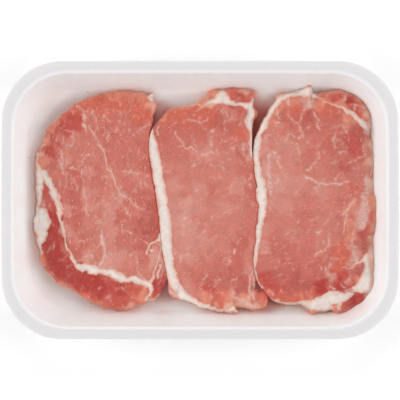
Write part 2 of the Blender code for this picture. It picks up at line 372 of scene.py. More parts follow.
# %% The tray's section
low, high = (np.array(corner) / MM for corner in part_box("tray"))
TRAY_LENGTH, TRAY_WIDTH, TRAY_HEIGHT = high - low
FOAM = 3.2  # the sheet's thickness; all of these are in mm
RIM_WIDTH, RIM_EDGE = 5.2, 0.6  # the flat band, and the radius of its cut edge
LIP_RADIUS, UNDER_RIM_RADIUS, FLOOR_RADIUS = 1.8, 1.2, 9.0
WALL_ANGLE = 66.0  # the walls' slope, in degrees
SINE, COSINE, TANGENT = (f(math.radians(WALL_ANGLE)) for f in (math.sin, math.cos, math.tan))
lip_foot = TRAY_HEIGHT - LIP_RADIUS * (1.0 - COSINE)
wall_foot = FOAM + FLOOR_RADIUS * (1.0 - COSINE)
floor_inset = RIM_WIDTH + (LIP_RADIUS + FLOOR_RADIUS) * SINE + (lip_foot - wall_foot) / TANGENT
floor_middle = (floor_inset, FOAM + FLOOR_RADIUS)

inner_section = np.concatenate([
    arc((RIM_EDGE, TRAY_HEIGHT - RIM_EDGE), RIM_EDGE, 180, 90, 5),
    arc((RIM_WIDTH, TRAY_HEIGHT - LIP_RADIUS), LIP_RADIUS, 90, 90 - WALL_ANGLE, 7),
    arc(floor_middle, FLOOR_RADIUS, 270 - WALL_ANGLE, 270, 14)])
under_corner = arc(floor_middle, FLOOR_RADIUS + FOAM, 270, 270 - WALL_ANGLE, 12)
under_rim = TRAY_HEIGHT - FOAM
meeting = under_corner[-1][0] - (under_rim - under_corner[-1][1]) / TANGENT
turn_back = UNDER_RIM_RADIUS * math.tan(math.radians(WALL_ANGLE / 2.0))
outer_section = np.concatenate([
    under_corner,
    arc((meeting - turn_back, under_rim - UNDER_RIM_RADIUS), UNDER_RIM_RADIUS, 90 - WALL_ANGLE, 90, 5),
    arc((RIM_EDGE, under_rim + RIM_EDGE), RIM_EDGE, 270, 180, 5)])
print("the floor is flat from", round(floor_inset, 1), "mm inside the rim's edge")

# %% The tray's outline
CORNER_RADIUS = 31.0  # of the rim's outer edge, in mm
CORNER_EASING = 0.45  # how much of an inset the corner radius loses
LONG_SIDE_BOW, SHORT_SIDE_BOW = 0.4, 0.9  # how far the sides swell past straight lines, in mm
CORNER_STEPS, SIDE_STEPS = 60, (150, 84, 150, 84)  # faces round each corner and along each side
QUARTERS = ((1, 1), (-1, 1), (-1, -1), (1, -1))  # the signs of x and y in each corner


def half_sizes(inset):
    """Half the length, half the width and the corner radius of the outline at an inset."""
    return (TRAY_LENGTH / 2.0 - SHORT_SIDE_BOW - inset, TRAY_WIDTH / 2.0 - LONG_SIDE_BOW - inset,
            CORNER_RADIUS - CORNER_EASING * inset)


def bowed(x, y):
    """Swells each side by its bow times 1 - (place along the side / half the side) squared."""
    half_x, half_y = TRAY_LENGTH / 2.0, TRAY_WIDTH / 2.0
    return (x * (1.0 + SHORT_SIDE_BOW / half_x * (1.0 - (y / half_y) ** 2)),
            y * (1.0 + LONG_SIDE_BOW / half_y * (1.0 - (x / half_x) ** 2)))


def around(inset):
    """A rounded rectangle for each row of insets: quarter circles joined by straight runs."""
    half_x, half_y, radius = half_sizes(inset)
    corners = []
    for quarter, (side_x, side_y) in enumerate(QUARTERS):
        turn = np.radians(np.linspace(90.0 * quarter, 90.0 * (quarter + 1), CORNER_STEPS + 1))[None]
        corners.append((side_x * (half_x - radius) + radius * np.cos(turn),
                        side_y * (half_y - radius) + radius * np.sin(turn)))
    xs, ys = [], []
    for quarter, (x, y) in enumerate(corners):
        next_x, next_y = corners[(quarter + 1) % 4]
        share = np.linspace(0.0, 1.0, SIDE_STEPS[quarter] + 1)[None, 1:-1]
        xs += [x, mix(x[:, -1:], next_x[:, :1], share)]
        ys += [y, mix(y[:, -1:], next_y[:, :1], share)]
    return bowed(np.concatenate(xs, axis=1), np.concatenate(ys, axis=1))


rim_x, rim_y = around(np.zeros((1, 1)))
print("points round the tray:", rim_x.size)

# %% [markdown]
# The rim is cut with a steel knife after the tray is formed, so its outer edge is a little ragged
# and its cells are torn open. The formed skin rolls by a few hundredths of a millimetre. Both are
# added to the section's insets and heights before the rings are made. Painted shade with a pink cast
# of light bounced off the meat darkens the foam beside the meat, most where two chops leave only a
# narrow gap, and a few painted shadows lie beside the chops, mostly on the left.

# %% Painted shade on the foam
PAINTED_SHADE_REACH = 3.4  # how far the painted shade beside the meat reaches over the foam, in mm
PAINTED_SHADOWS = (  # painted shadows on the foam beside the chops: x, y, reach and amount
    (-82, 52, 8, 0.45), (-82, -50, 8, 0.45), (-20, -58, 5, 0.5), (-74, 60, 6, 0.3),
    (-91, 0, 5, 0.3), (-89, -30, 5, 0.5))
GAP_SHADE_FADE = (6.0, 13.0)  # the painted shade in a gap between two chops fades out as the gap widens over this range, in mm


def distance_to(loop, x, y):
    """Distance from each point to the nearest of a loop's points."""
    return np.hypot(x[..., None] - loop[:, 0], y[..., None] - loop[:, 1]).min(axis=-1)


def painted_shade_beside(x, y, inside):
    """How strongly painted shade with a pink cast darkens each point, and how much painted shade it gets
    in a narrow gap between two chops. Less of the first shows at the right and far walls, and the gap
    shade is lighter on the left and at the front."""
    away = np.sort([distance_to(loop[::4], x, y) for loop in outlines.values()], axis=0)
    # painted shade with a pink cast, fading with the distance from the meat
    painted_pink_shade = np.exp(-(away[0] / PAINTED_SHADE_REACH) ** 2) * mix(1.0, 0.4, smooth_step(82.0, 92.0, x))
    painted_pink_shade = painted_pink_shade * mix(1.0, 0.5, smooth_step(50.0, 57.0, y)) + hills(PAINTED_SHADOWS, x, y)
    # painted shade in the narrow gaps between chops
    narrow = 1.0 - smooth_step(*GAP_SHADE_FADE, away[0] + away[1])
    gap_shade_share = mix(0.5, 1.0, smooth_step(-8.0, 12.0, x) * smooth_step(-58.0, -48.0, y))
    return {"painted_pink_shade": inside * np.minimum(painted_pink_shade, 1.0), "painted_gap_shade": inside * narrow * gap_shade_share}


# the painted shadows on the foam
print("pools of juice:", len(PAINTED_SHADOWS))

# %% The tray's surface
RAGGED = 0.16  # how far the cut edge wanders inwards, in mm
CREASE, CREASE_AT, CREASE_WIDTH = 0.14, -62.6, 0.8  # a small crease across the far wall, in mm
ROLL, ROLL_SIZE = 0.05, 17.0  # height and length of the skin's soft waves, in mm
SECTION_STEP, UNDER_STEP = 0.8, 1.2  # spacing of rings on the inner and outer section, in mm
FLOOR_SHARES = (*np.arange(0.98, 0.60, -0.03), 0.55, 0.46, 0.36, 0.26, 0.16, 0.06)
UNDER_SHARES = (0.90, 0.74, 0.56, 0.38, 0.20, 0.06)  # sizes of the rings across the floor
RIM_SHADE_INSETS = (4.6, 6.2)  # the insets between which the rim's painted shade fades out, in mm
CUT_TO = 0.35  # the inset up to which the foam is cut, in mm
FAR_IN = 99.0  # stands for the inset of the rings across the floor


def tray_rings():
    """Rings from the floor's middle up the wall, over the rim and back under to the middle."""
    inner, outer = filled(inner_section, SECTION_STEP), filled(outer_section, UNDER_STEP)
    section = np.concatenate([inner[::-1], outer[::-1][1:]])
    wander = np.abs(ripple(rim_x, rim_y, 2.6, 5)) * 0.6 + np.abs(ripple(rim_x, rim_y, 9.0, 6)) * 0.4
    wander = np.minimum(wander, 1.0) * RAGGED * (np.abs(rim_y) / (TRAY_WIDTH / 2.0)) ** 8
    height = section[:, 1:] * np.ones_like(rim_x)
    at_edge = 1.0 - smooth_step(0.3, 1.2, section[:, :1])
    x, y = around(section[:, :1])
    shrink = 1.0 - at_edge * wander / np.hypot(rim_x, rim_y)
    x, y = x * shrink, y * shrink
    inside = section[:, 1:] > FOAM * 0.9
    height = height + inside * smooth_step(2.0, 9.0, section[:, :1]) * ROLL * ripple(x, y, ROLL_SIZE, 8)
    # the crease slants a little and starts where the far wall does
    crease = np.exp(-((x - CREASE_AT + 0.02 * (y - 60.0)) / CREASE_WIDTH) ** 2) * smooth_step(48.0, 54.0, y)
    height = np.minimum(height - inside * CREASE * crease, TRAY_HEIGHT)
    rings = np.stack([x, y, height], axis=-1)
    floors = [rings[:1] * (share, share, 1.0) for share in FLOOR_SHARES[::-1]]
    unders = [rings[-1:] * (share, share, 1.0) for share in UNDER_SHARES]
    all_rings = np.concatenate([*floors, rings, *unders])
    insets = np.array([*[FAR_IN] * len(floors), *section[:, 0], *[FAR_IN] * len(unders)])[:, None]
    # painted shade: the flat rim is coloured darker than the walls
    painted_shade_share = (1.0 - smooth_step(*RIM_SHADE_INSETS, insets)) * np.ones_like(rim_x)
    cut = (insets < CUT_TO) * np.ones_like(rim_x)
    inside = np.arange(len(all_rings))[:, None] < len(floors) + len(inner)
    # painted shade on the foam beside the chops
    tints = painted_shade_beside(all_rings[..., 0], all_rings[..., 1], inside)
    return all_rings, {"painted_shade_share": painted_shade_share, "cut": cut, **tints}


foam_rings, foam_values = tray_rings()
print("tray rings:", foam_rings.shape, "height", foam_rings[..., 2].min(), foam_rings[..., 2].max())

# %% [markdown]
# Expanded polystyrene is a froth of closed cells, each a few tenths of a millimetre across, under a
# skin that the hot mould has smoothed. The eye sees a soft satin white with a very faint mottle, and
# no sparkle. Light also goes a few millimetres in, which fills the tray's corners with a soft glow.
# Real cells are too fine to show, so they are drawn about three times as wide. The bump is stronger
# where the knife has opened the cells. The flat rim is painted a little darker than the walls: this
# is painted shade, as the rim faces straight up and gets less of the low side light than the walls.


# %% The foam
SPECKS = ((-60.0, 57.9), (-91.2, 22.5))  # tiny specks of dried juice on the walls
SHADE_TINTS = {"painted_pink_shade": (0.36, "#e9a99c"), "painted_gap_shade": (0.85, "#cf5f4e")}  # painted shade beside the meat and in the gaps between chops: at the most, and of this colour


def foam_finish():
    """White foam: cells that shade and dent it, a rim painted darker as shade, and painted shade with a pink
    cast beside the meat.
    """
    material, tree, shader = new_finish("white_expanded_polystyrene", {
        "Roughness": 0.5, "IOR": 1.45, "Subsurface Weight": 0.5,
        "Subsurface Radius": (1.0, 1.0, 1.0), "Subsurface Scale": 5.0 * MM})
    node = partial(add, tree)
    kept = {key: node("Attribute", {}, "Fac", attribute_name=key) for key in foam_values}
    place = node("TexCoord", {}, "Object")
    cells = node("TexVoronoi", {"Vector": place, "Scale": 1.0 / (1.1 * MM)}, "Distance")
    cloud = node("TexNoise", {"Vector": place, "Scale": 1.0 / (7.0 * MM), "Detail": 3.0})
    shade = node("MapRange", (cloud, 0.3, 0.7))
    white = node("Mix", {0: shade, 6: paint("#f4f6f6"), 7: paint("#f8fafa")}, 2, data_type="RGBA")
    # painted shade on the flat rim: a greyer white
    white = node("Mix", {0: kept["painted_shade_share"], 6: white, 7: paint("#e6e3e4")}, 2, data_type="RGBA")
    shade = node("MapRange", (cells, 0.0, 0.9, 1.01, 0.975))
    colour = node("VectorMath", {0: white, 3: shade}, operation="SCALE")
    # painted shade beside the meat, darker still in the gaps between chops
    for key, (most, tint) in SHADE_TINTS.items():
        share = node("MapRange", (kept[key], 0.0, 1.0, 0.0, most))
        colour = node("Mix", {0: share, 6: colour, 7: paint(tint)}, 2, data_type="RGBA")
    flat = node("VectorMath", (place, (1.0, 1.0, 0.0)), operation="MULTIPLY")
    for x, y in SPECKS:
        away = node("VectorMath", (flat, (x * MM, y * MM, 0.0)), 1, operation="DISTANCE")
        speck = node("MapRange", (away, 0.4 * MM, 0.15 * MM, 0.0, 0.6))
        colour = node("Mix", {0: speck, 6: colour, 7: paint("#7d4a44")}, 2, data_type="RGBA")
    depth = node("MapRange", (kept["cut"], 0.0, 1.0, 0.25, 1.0))
    bump = node("Bump", {"Strength": depth, "Distance": 0.12 * MM, "Height": cells}, invert=True)
    tree.links.new(colour, shader.inputs["Base Color"])
    tree.links.new(bump, shader.inputs["Normal"])
    return material


tray = ring_mesh("foam_tray", foam_rings, foam_finish(), values=foam_values)
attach(tray, "root")
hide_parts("tray")

# %% [markdown]
# ## Fat, marbling and tone
#
# What makes pork look like pork is where its fat and colours lie. A texture of random marbling
# would look like any chop; these three are drawn. Fat is laid on in brush strokes whose half width
# changes along them, marbling in thin strokes of one width, and silver skin in strokes that the
# finish later breaks up. The colour of the lean is set by soft spots of named tones, mixed where
# they overlap. All of it is in the tray's millimetres.

# %% Named tones of lean
# The orange edge tone and the palest side tone below are painted light for free edges and low sides; the
# seam red and the darkest maroon are painted shade.
TONES = {name: linear(code) for name, code in {
    "blood": "#7d1f1d", "deep": "#b63b34", "red": "#c75448", "plum": "#c05f54", "coral": "#d56854",
    "brick": "#ca6c5e", "rose": "#cf7668", "shell": "#d38172", "pale": "#d78e81",
    "milk": "#da998c", "peach": "#e08b73", "cream": "#e6b09a", "rind": "#e9ccbe", "film": "#f4d3c6",
    "glow": "#e99b80", "seam": "#cb4a3c"}.items()}
BASE_WEIGHT = 0.03  # of plain rose, which shows where no spot reaches
REACH_SHARE = 0.82  # how much of its stated reach each spot of tone gets


def lean_colour(tones, x, y):
    """The mean of the tones, each weighted by the sum of the hills at its spots."""
    total = np.full((*x.shape, 1), BASE_WEIGHT)
    colour = TONES["rose"] * total
    for tone, spots in tones.items():
        for spot_x, spot_y, reach in spots:
            weight = hill(x, y, spot_x, spot_y, REACH_SHARE * reach)[..., None]
            total = total + weight
            colour = colour + TONES[tone] * weight
    return colour / total


print(len(TONES), "tones")

# %% The left chop: fat, silver skin and marbling
LEFT_FAT = [  # strokes of x, y and half width
    [(-44, -38.5, 0.5), (-42, -39.3, 0.7), (-40, -40, 0.5)],
    [(-75, 3, 0.4), (-74, -1, 0.6), (-73, -5, 0.4)], [(-25.8, 53.8, 1.3), (-25, 56.2, 1.6)],
    [(-86.8, -5, 1.8), (-87.4, -10, 2.4), (-86.8, -15, 2), (-85.2, -19, 1.2)],
    [(-86.6, 24.5, 0.6), (-86.8, 20, 0.7), (-85.8, 16.5, 1.5), (-85.5, 13, 2.2), (-85.3, 7, 1.8),
     (-85.5, 2, 1.6), (-85.8, -2, 1.2)],
    [(-83.2, 14, 2.2), (-81, 11, 2), (-78.9, 7, 1.8), (-77.5, 3, 1.6), (-75.7, -1, 1.4),
     (-75, -5, 1.2), (-74, -9, 0.9), (-73.3, -13, 0.8), (-72.5, -16.5, 0.6), (-72, -20, 0.35),
     (-70.5, -25, 0.5), (-69.2, -28, 0.6), (-67.7, -31, 0.8), (-66, -33, 0.9)],
    [(-65.5, -34.5, 1.3), (-63.5, -35.8, 2), (-61.5, -35.9, 1.7), (-59.5, -36, 1.8), (-57, -37, 2.5),
     (-55, -37.4, 1.9), (-52.5, -38, 1.3), (-50, -38.3, 1.7), (-47.5, -38.5, 2.1), (-45, -39.9, 1.9),
     (-42.5, -41.4, 2.3), (-40, -41.9, 1.9), (-38, -42.3, 1.3), (-36, -42, 1.9), (-33.5, -42.6, 2),
     (-31, -43.5, 1.4), (-28.5, -44.3, 1.6), (-26.3, -45.3, 1.7), (-26, -47.5, 1.3), (-26.8, -49.5, 1),
     (-27.5, -51.5, 0.7), (-28.7, -53, 0.6)],
    [(-26, -44.5, 0.9), (-25.5, -42, 0.7), (-24.5, -39, 0.5), (-23, -35, 0.5), (-21.8, -31, 0.4),
     (-21, -27, 0.3), (-20.9, -23, 0.4)],
    [(-22.5, -40.5, 0.6), (-21.8, -37.5, 0.5), (-21, -34, 0.3)],
    [(-20.8, -18, 0.7), (-21.5, -21.2, 1.2), (-23, -21.8, 0.7), (-25.3, -22.8, 0.5), (-27, -25, 0.45),
     (-28, -27.5, 0.5), (-28.2, -28.5, 0.5)],
    [(-25.9, -26.5, 0.7), (-25.5, -26.5, 0.7)],
    [(-83.5, -7, 2.8), (-83, -10, 3.4), (-83.3, -14, 3.3), (-84, -18, 2.9), (-84.6, -21.5, 2.1),
     (-85, -25, 1.2), (-84.6, -28, 0.6)],
    [(-28.5, -53.5, 0.5), (-26.5, -54, 0.45), (-24.5, -53, 0.5), (-22.5, -51.5, 0.5),
     (-20.5, -49.5, 0.35)],
    [(-27.5, 54.3, 0.6), (-26.3, 56, 0.9), (-25.5, 55, 1.1), (-24.8, 52.5, 0.3), (-23.2, 50.5, 0.3)]]
LEFT_SILVER = [
    [(-61.7, 45, 0.9), (-61.6, 43, 0.9)], [(-61.5, 40.2, 0.7), (-61.4, 38.8, 0.7)],
    [(-84, -1, 0.8), (-82.5, -3, 0.8)], [(-52, -17, 0.7), (-51.2, -23, 0.9), (-50.4, -30, 0.8)],
    [(-69, 17, 0.6), (-66, 17, 0.6)], [(-73.5, 24, 0.6), (-73, 17, 0.6)],
    [(-86.3, 26, 0.5), (-84, 28.5, 0.5), (-81.5, 31, 0.4)]]
LEFT_VEINS = lines(  # a half width, and then the stroke's points
    (0.25, (-65.5, 51), (-63.5, 48.5), (-62, 46.5), (-61.3, 44), (-61.5, 41.5), (-61.2, 38.5),
     (-60, 36)),
    (0.35, (-59, 39), (-57, 36.5), (-55.5, 34), (-54.5, 31.5), (-54, 29.5), (-52.5, 28), (-50.3, 24),
     (-50, 21), (-49.5, 18.5), (-48, 15.5), (-46.5, 12.5), (-45, 9), (-43.5, 6), (-42, 3.5)),
    (0.25, (-42, 3.5), (-40, 2), (-37.5, 0.5), (-35.5, -1.5), (-33.5, -3.5), (-31.5, -4.8), (-30, -5)),
    (0.2, (-57.8, 48.5), (-56.2, 45.5), (-55.2, 43), (-54.7, 40), (-54.5, 37)),
    (0.15, (-50.5, 45), (-49, 43), (-47.7, 41.5)), (0.15, (-49, 48), (-49.5, 46.5), (-48, 45.8)),
    (0.15, (-42.8, 47.5), (-42.3, 45.5)), (0.15, (-43, 52), (-42, 50.5)),
    (0.15, (-72, 37), (-68, 36.5), (-65, 35.5)),
    (0.2, (-67.3, 36), (-67.5, 32), (-68, 30), (-68.8, 28.3)), (0.15, (-75.5, 34), (-76, 32)),
    (0.2, (-74.5, 31.5), (-73, 30)), (0.2, (-72.2, 33), (-72.5, 30)),
    (0.2, (-70, 30), (-69, 28.5), (-67.5, 29.5)), (0.25, (-73.5, 26), (-73.2, 23.5), (-72.8, 21)),
    (0.2, (-74.8, 21.5), (-74, 19.5), (-73, 18), (-72.8, 16), (-72.3, 14.5)),
    (0.15, (-71, 22.5), (-70.5, 19.5)),
    (0.2, (-61.5, 23.5), (-62, 21), (-62.3, 19), (-64, 17.5), (-66.5, 16.5)),
    (0.25, (-62.7, 16), (-62.5, 13), (-62, 10.5), (-61.7, 7.5), (-61.2, 4), (-60.8, 0.5), (-60.6, -3),
     (-60, -7), (-59.5, -8.5)),
    (0.15, (-61, 17.5), (-60.5, 15)), (0.2, (-58.6, 17.5), (-58.5, 15.5)),
    (0.2, (-66.5, 12), (-66.2, 9.5), (-65, 7.5), (-65, 5.5)), (0.2, (-74, 10), (-74, 7)),
    (0.15, (-71.5, 8.5), (-70.8, 6.5)),
    (0.35, (-40.5, 14.8), (-38.5, 14.3), (-37, 15.2), (-35.5, 14.6), (-33, 14)),
    (0.15, (-52, 12.5), (-51.5, 10.8)), (0.15, (-34.5, 6), (-34, 4.5)),
    (0.25, (-38, 37.2), (-36.8, 36.8)), (0.2, (-32.8, 36.5), (-31, 37.5), (-30, 38.3)),
    (0.15, (-32, 36), (-28.5, 36.2)), (0.15, (-49.5, 36), (-48.5, 34), (-47, 32.5)),
    (0.15, (-42.3, 36), (-41.5, 34.5)), (0.15, (-43, 42), (-43, 40.8)), (0.2, (-27, 40), (-26.5, 41)),
    (0.15, (-29.5, 9.5), (-28.5, 8)),
    (0.35, (-52, -17), (-51.5, -20), (-51, -23), (-50.3, -26), (-50.2, -29), (-51, -32), (-53, -34),
     (-54, -36)),
    (0.15, (-50.7, -7), (-51.2, -9.5)), (0.25, (-57, -29), (-60, -29.5), (-63, -31), (-64.5, -32)),
    (0.4, (-62.2, -22), (-61.8, -22)), (0.5, (-47.2, -29), (-46.8, -29)),
    (0.35, (-34.2, -21.3), (-33.8, -21.3)),
    (0.2, (-33.5, -29), (-33.5, -33), (-33, -36), (-32.5, -39), (-31, -40.5), (-28.5, -42.5)),
    (0.15, (-41.5, -13), (-41, -15), (-40.5, -18)), (0.15, (-38.5, -5), (-38.7, -7)),
    (0.15, (-48, -6), (-45, -6.5)), (0.15, (-39, -16.5), (-36, -17.5)),
    (0.25, (-29.5, -22), (-27.5, -24)),
    (0.25, (-22.3, -45), (-20.8, -42.5), (-19.8, -39), (-19.2, -35.5)),
    (0.2, (-44.5, -47.5), (-42, -46.5), (-40.5, -48)), (0.2, (-49.5, -52), (-47.5, -51)),
    (0.4, (-53, -46.3), (-52.6, -46.3)), (0.2, (-63, -48), (-62.5, -45.5)),
    (0.15, (-70.5, -36), (-69, -34.5), (-68, -34)), (0.15, (-78, -26), (-77.5, -23)),
    (0.15, (-81, -27.5), (-79, -25.5)))
print("left chop:", len(LEFT_FAT), "fat strokes,", len(LEFT_VEINS), "veins")

# %% The left chop: tones
LEFT_TONES = {  # spots of x, y and reach
    "shell": [(-81, -4, 2), (-60, 44, 2.5), (-66, 31, 3.5), (-54, 31, 3), (-72, 25, 3), (-58, 24, 4),
        (-48, 14, 3), (-36, 14, 3), (-48, 6, 4), (-30, 8, 3), (-54, -11, 3), (-60, -14, 3.5), (-65, -22, 3),
        (-54, -21, 3), (-56, -28, 4), (-36, -30, 4), (-37, -36, 4), (-29, -38, 3)],
    "coral": [(-55, 55, 5), (-62, 51, 5), (-50, 50, 5), (-42, 50, 3), (-32, 48, 5), (-73, 45, 3),
        (-84, -30, 2), (-35, -53, 4), (-61, -51, 3), (-51, -56, 3.5)],
    "peach": [(-44, 57, 4), (-30, 55, 4), (-78, 39, 2), (-82.5, 31, 2), (-84, 20, 2.5),
        (-30, -50, 3.5)],
    "cream": [(-25, 50, 2), (-85, 25, 1.8), (-37, -58, 3)],
    "red": [(-66, 44, 4), (-72, 38, 4), (-66, 38, 3.5), (-78, 32, 3), (-78, 26, 4), (-81, 4, 3),
        (-79, -3, 3), (-48, -49, 4), (-41, -54, 4), (-36, -48, 3), (-45, -57.5, 3)],
    "rose": [(-50, 44, 4), (-40, 43, 4), (-60, 38, 3), (-72, 32, 3.5), (-36, 34, 5), (-65, 24, 4),
        (-40, 26, 8), (-54, 16, 4), (-54, 8, 2.5), (-37, 6, 4), (-38, -5, 4), (-36, -12, 4), (-41, -22, 4),
        (-36, -22, 3)],
    "brick": [(-48, 35, 5), (-29, 38, 3), (-78, 20, 3), (-28, 28, 3), (-28, 18, 3), (-66, 13, 4),
        (-66, 6, 4), (-30, 0, 3), (-66, -4, 3.5), (-42, -11, 3.5), (-66, -12, 4), (-60, -22, 3.5),
        (-30, -24, 3), (-66, -28, 3), (-30, -30, 3), (-70, -45, 2.5)],
    "pale": [(-72, 20, 3), (-60, 14, 2.5), (-60, 5, 3), (-60, -4, 2.5), (-71, -5, 2.5), (-48, -4, 4),
        (-48, -12, 4), (-70, -15, 3), (-48, -21, 3), (-43, -29, 4)],
    "milk": [(-42, 2, 2), (-24, -30, 3), (-48, -34, 4), (-60, -32, 3)],
    "plum": [(-24, -4, 3), (-30, -17, 3.5), (-24, -12, 3), (-24, -18, 2.5), (-82.5, -35, 2)],
    "deep": [(-77, -9, 3.5), (-78, -17, 4.5), (-79, -25, 5), (-77, -32, 5), (-72, -38, 5),
        (-66, -41, 5), (-60, -44, 5), (-54, -47, 5), (-43, -48, 3.5), (-23.5, -48, 3), (-23, -53, 2.5),
        (-19.5, -43, 2.5)]}
print(sum(map(len, LEFT_TONES.values())), "spots of tone")

# %% The middle chop: fat, silver skin and marbling
MIDDLE_FAT = [
    [(-25.3, 37.5, 0.6), (-25.5, 34, 1.3), (-25, 31, 2.2), (-24.8, 27, 2.4), (-23.8, 22, 2.7),
     (-22.6, 16, 2.7), (-22, 10, 2.6), (-20.8, 5, 2.6), (-20, -1, 2.8), (-18.9, -8, 2.9),
     (-18.5, -15, 3.1), (-18.1, -22, 3), (-17.3, -28, 2.8), (-16.5, -33, 2.6), (-15.9, -37, 2.6),
     (-14.3, -42, 2.3), (-13, -45.2, 2.6), (-10.5, -48, 2), (-8.6, -51.3, 2.5), (-5.5, -52.8, 2.1),
     (-3, -54.2, 2.2), (-1, -55.6, 2.3), (1.5, -56.6, 1.9), (4, -57, 1.7), (6, -57.7, 1.3),
     (9, -58.4, 1), (12, -58.8, 0.9), (15, -58.7, 1.2), (18, -58.1, 1.5), (19.8, -59.3, 0.7)],
    [(-21.8, 39.5, 0.4), (-22.3, 37, 0.4), (-22.6, 34.5, 0.4)],
    [(-12, 49.6, 0.35), (-8, 50.2, 0.4), (-5, 50.2, 0.35), (-2, 50.3, 0.3), (1, 50.2, 0.3)],
    [(12.5, 58, 1), (12, 56, 2.2), (10.5, 54, 2.6), (8, 52.5, 1.8), (4.5, 51.5, 0.9), (2.5, 51, 0.5)],
    [(12, 56, 2), (13.5, 53.5, 2.4), (15, 51.8, 1.7), (18, 51.2, 1.2), (21, 50.9, 0.9),
     (24.5, 50.2, 1.6), (27, 50, 1.6), (27.8, 52, 0.9), (28.3, 54, 0.6)],
    [(27, 50, 1.4), (27, 47, 1.9), (26.5, 44, 2), (26, 41, 2), (26.5, 38, 1.2), (26.9, 35, 0.7),
     (27.1, 31, 1), (27.3, 27, 1), (27.6, 23, 0.5)],
    [(4.5, -55.8, 0.8), (4.7, -56, 0.8)], [(23.5, 43, 0.35), (24.2, 41, 0.35)]]
MIDDLE_SILVER = [
    [(23.3, 30, 0.4), (22.9, 27.5, 0.4), (23, 24, 0.4), (25, 23, 0.4)],
    [(26.8, 13.5, 0.5), (26.5, 11.5, 0.5)], [(26.5, 8, 0.5), (27, 6, 0.5)],
    [(26.5, 38, 1.3), (26.4, 34, 1.1), (26.6, 30, 0.8), (26.9, 26, 0.6)],
    [(-16, -47.5, 0.8), (-14, -50, 1), (-11.5, -51.5, 0.8)],
    [(18, -52, 1.2), (25, -55, 1.2), (31, -57, 1)]]
MIDDLE_VEINS = lines(
    (0.2, (-8.8, 41), (-8.5, 42.2), (-7.3, 42.3), (-5.3, 42)),
    (0.25, (-4, 41.5), (-3, 42), (-1.3, 41.8), (0, 41), (0.8, 40.2), (0.9, 39.5)),
    (0.2, (-0.9, 42), (-0.4, 43.8)), (0.25, (0.8, 40.7), (2.2, 41.7), (3.6, 42.7), (4.2, 43.5)),
    (0.25, (12.5, 47), (13.8, 46.6), (14.2, 45), (15, 44.3)), (0.2, (11.5, 48), (11, 47), (11.8, 46.3)),
    (0.25, (16.8, 44), (16.3, 43), (15, 42)), (0.2, (12.6, 40.5), (13.6, 40.6), (14.2, 41.2)),
    (0.2, (17, 43), (19, 43.2)), (0.15, (2.5, 38), (3.8, 37.8)),
    (0.2, (6, 36.8), (7, 36.3), (7.2, 37.2), (8.5, 37.8), (9.5, 38.5)),
    (0.45, (6.9, 36.5), (7.1, 36.5)), (0.15, (13, 38), (13.5, 36.8), (14.5, 36.5)),
    (0.3, (-13, 36), (-12.7, 34.5), (-12, 33.2), (-10.5, 31.8), (-9.3, 31), (-9, 29.5), (-8.5, 28.6),
     (-7.5, 27.8), (-5, 27.8), (-3, 26.5), (-2, 26.3)),
    (0.2, (-3.8, 34), (-4.3, 33)), (0.2, (-4, 31.5), (-3, 31.5), (-2.8, 32.3)),
    (0.2, (-3.3, 29.8), (-2.2, 27.5), (-1.8, 26.3)),
    (0.2, (5.3, 33.5), (5.5, 31.5), (6, 30), (6.2, 29), (6.6, 28.5)),
    (0.15, (11.5, 32), (12.5, 31.5), (13.5, 31.3), (14.5, 31.7)),
    (0.4, (1, 24), (3, 24.2), (4.5, 24.8), (6, 25), (6.5, 24.7)), (0.2, (8.5, 26.5), (9.3, 26.8)),
    (0.2, (8.5, 25), (9.5, 24.5)), (0.15, (12, 25.5), (14, 24.8)),
    (0.2, (5, 18.5), (7.5, 18), (8, 17.8)), (0.2, (10.5, 17.8), (12.5, 16.5)),
    (0.2, (-4.5, 17.5), (-2.5, 18.4)), (0.15, (11, 20.3), (12.5, 19.7)), (0.2, (10, 12), (12.5, 11.4)),
    (0.3, (-19.2, 19.5), (-19, 19.5)), (0.3, (-1.6, 5.5), (-1.4, 5.5)), (0.3, (16.9, 8), (17.1, 8)),
    (0.15, (16.5, 27.5), (18, 27)), (0.6, (-8.3, -10), (-8.1, -9.8)),
    (0.15, (-9.5, -13.5), (-8, -13.5)), (0.15, (-13.5, -20.5), (-12.5, -19.3)),
    (0.3, (-9.1, -18.7), (-8.9, -18.7)), (0.15, (1, -16.5), (2.5, -16)), (0.3, (5.9, -9), (6.1, -9)),
    (0.3, (5.4, -12.5), (5.6, -12.5)), (0.2, (7.5, -27), (8.2, -26.6)), (0.2, (21, -21), (20.5, -22.5)),
    (0.3, (21.4, -15), (21.6, -15)), (0.35, (18.2, -26.5), (18, -28.5)),
    (0.25, (14.5, -30.5), (16.5, -32.7)), (0.25, (15, -34), (15.5, -33.5)),
    (0.25, (-14, -28.5), (-12.5, -28.5)), (0.2, (-10.5, -29), (-10.3, -33)),
    (0.2, (-8, -29), (-5.5, -29)), (0.15, (-7, -26), (-4.5, -24.3)),
    (0.25, (3.5, -39.8), (2.7, -41.5), (1.8, -43.5), (0.5, -45.3), (-0.8, -45.8)),
    (0.2, (10, -42), (11, -42.5)), (0.3, (16, -43.5), (17.5, -42), (19, -41.8)),
    (0.2, (16.5, -47), (16.8, -48)), (0.3, (17.5, -48.7), (17.2, -50.3), (18, -49.5)),
    (0.2, (8.5, -45.5), (7, -45.7)), (0.2, (6.5, -50), (5.8, -52), (7, -51)),
    (0.4, (28, -38), (27, -39.5), (26.3, -41), (26, -44), (26, -47), (26.3, -49)),
    (0.35, (29, -40.5), (28.6, -43), (28.3, -46), (28, -49), (28.2, -51), (29, -53)))
print("middle chop:", len(MIDDLE_FAT), "fat strokes,", len(MIDDLE_VEINS), "veins")

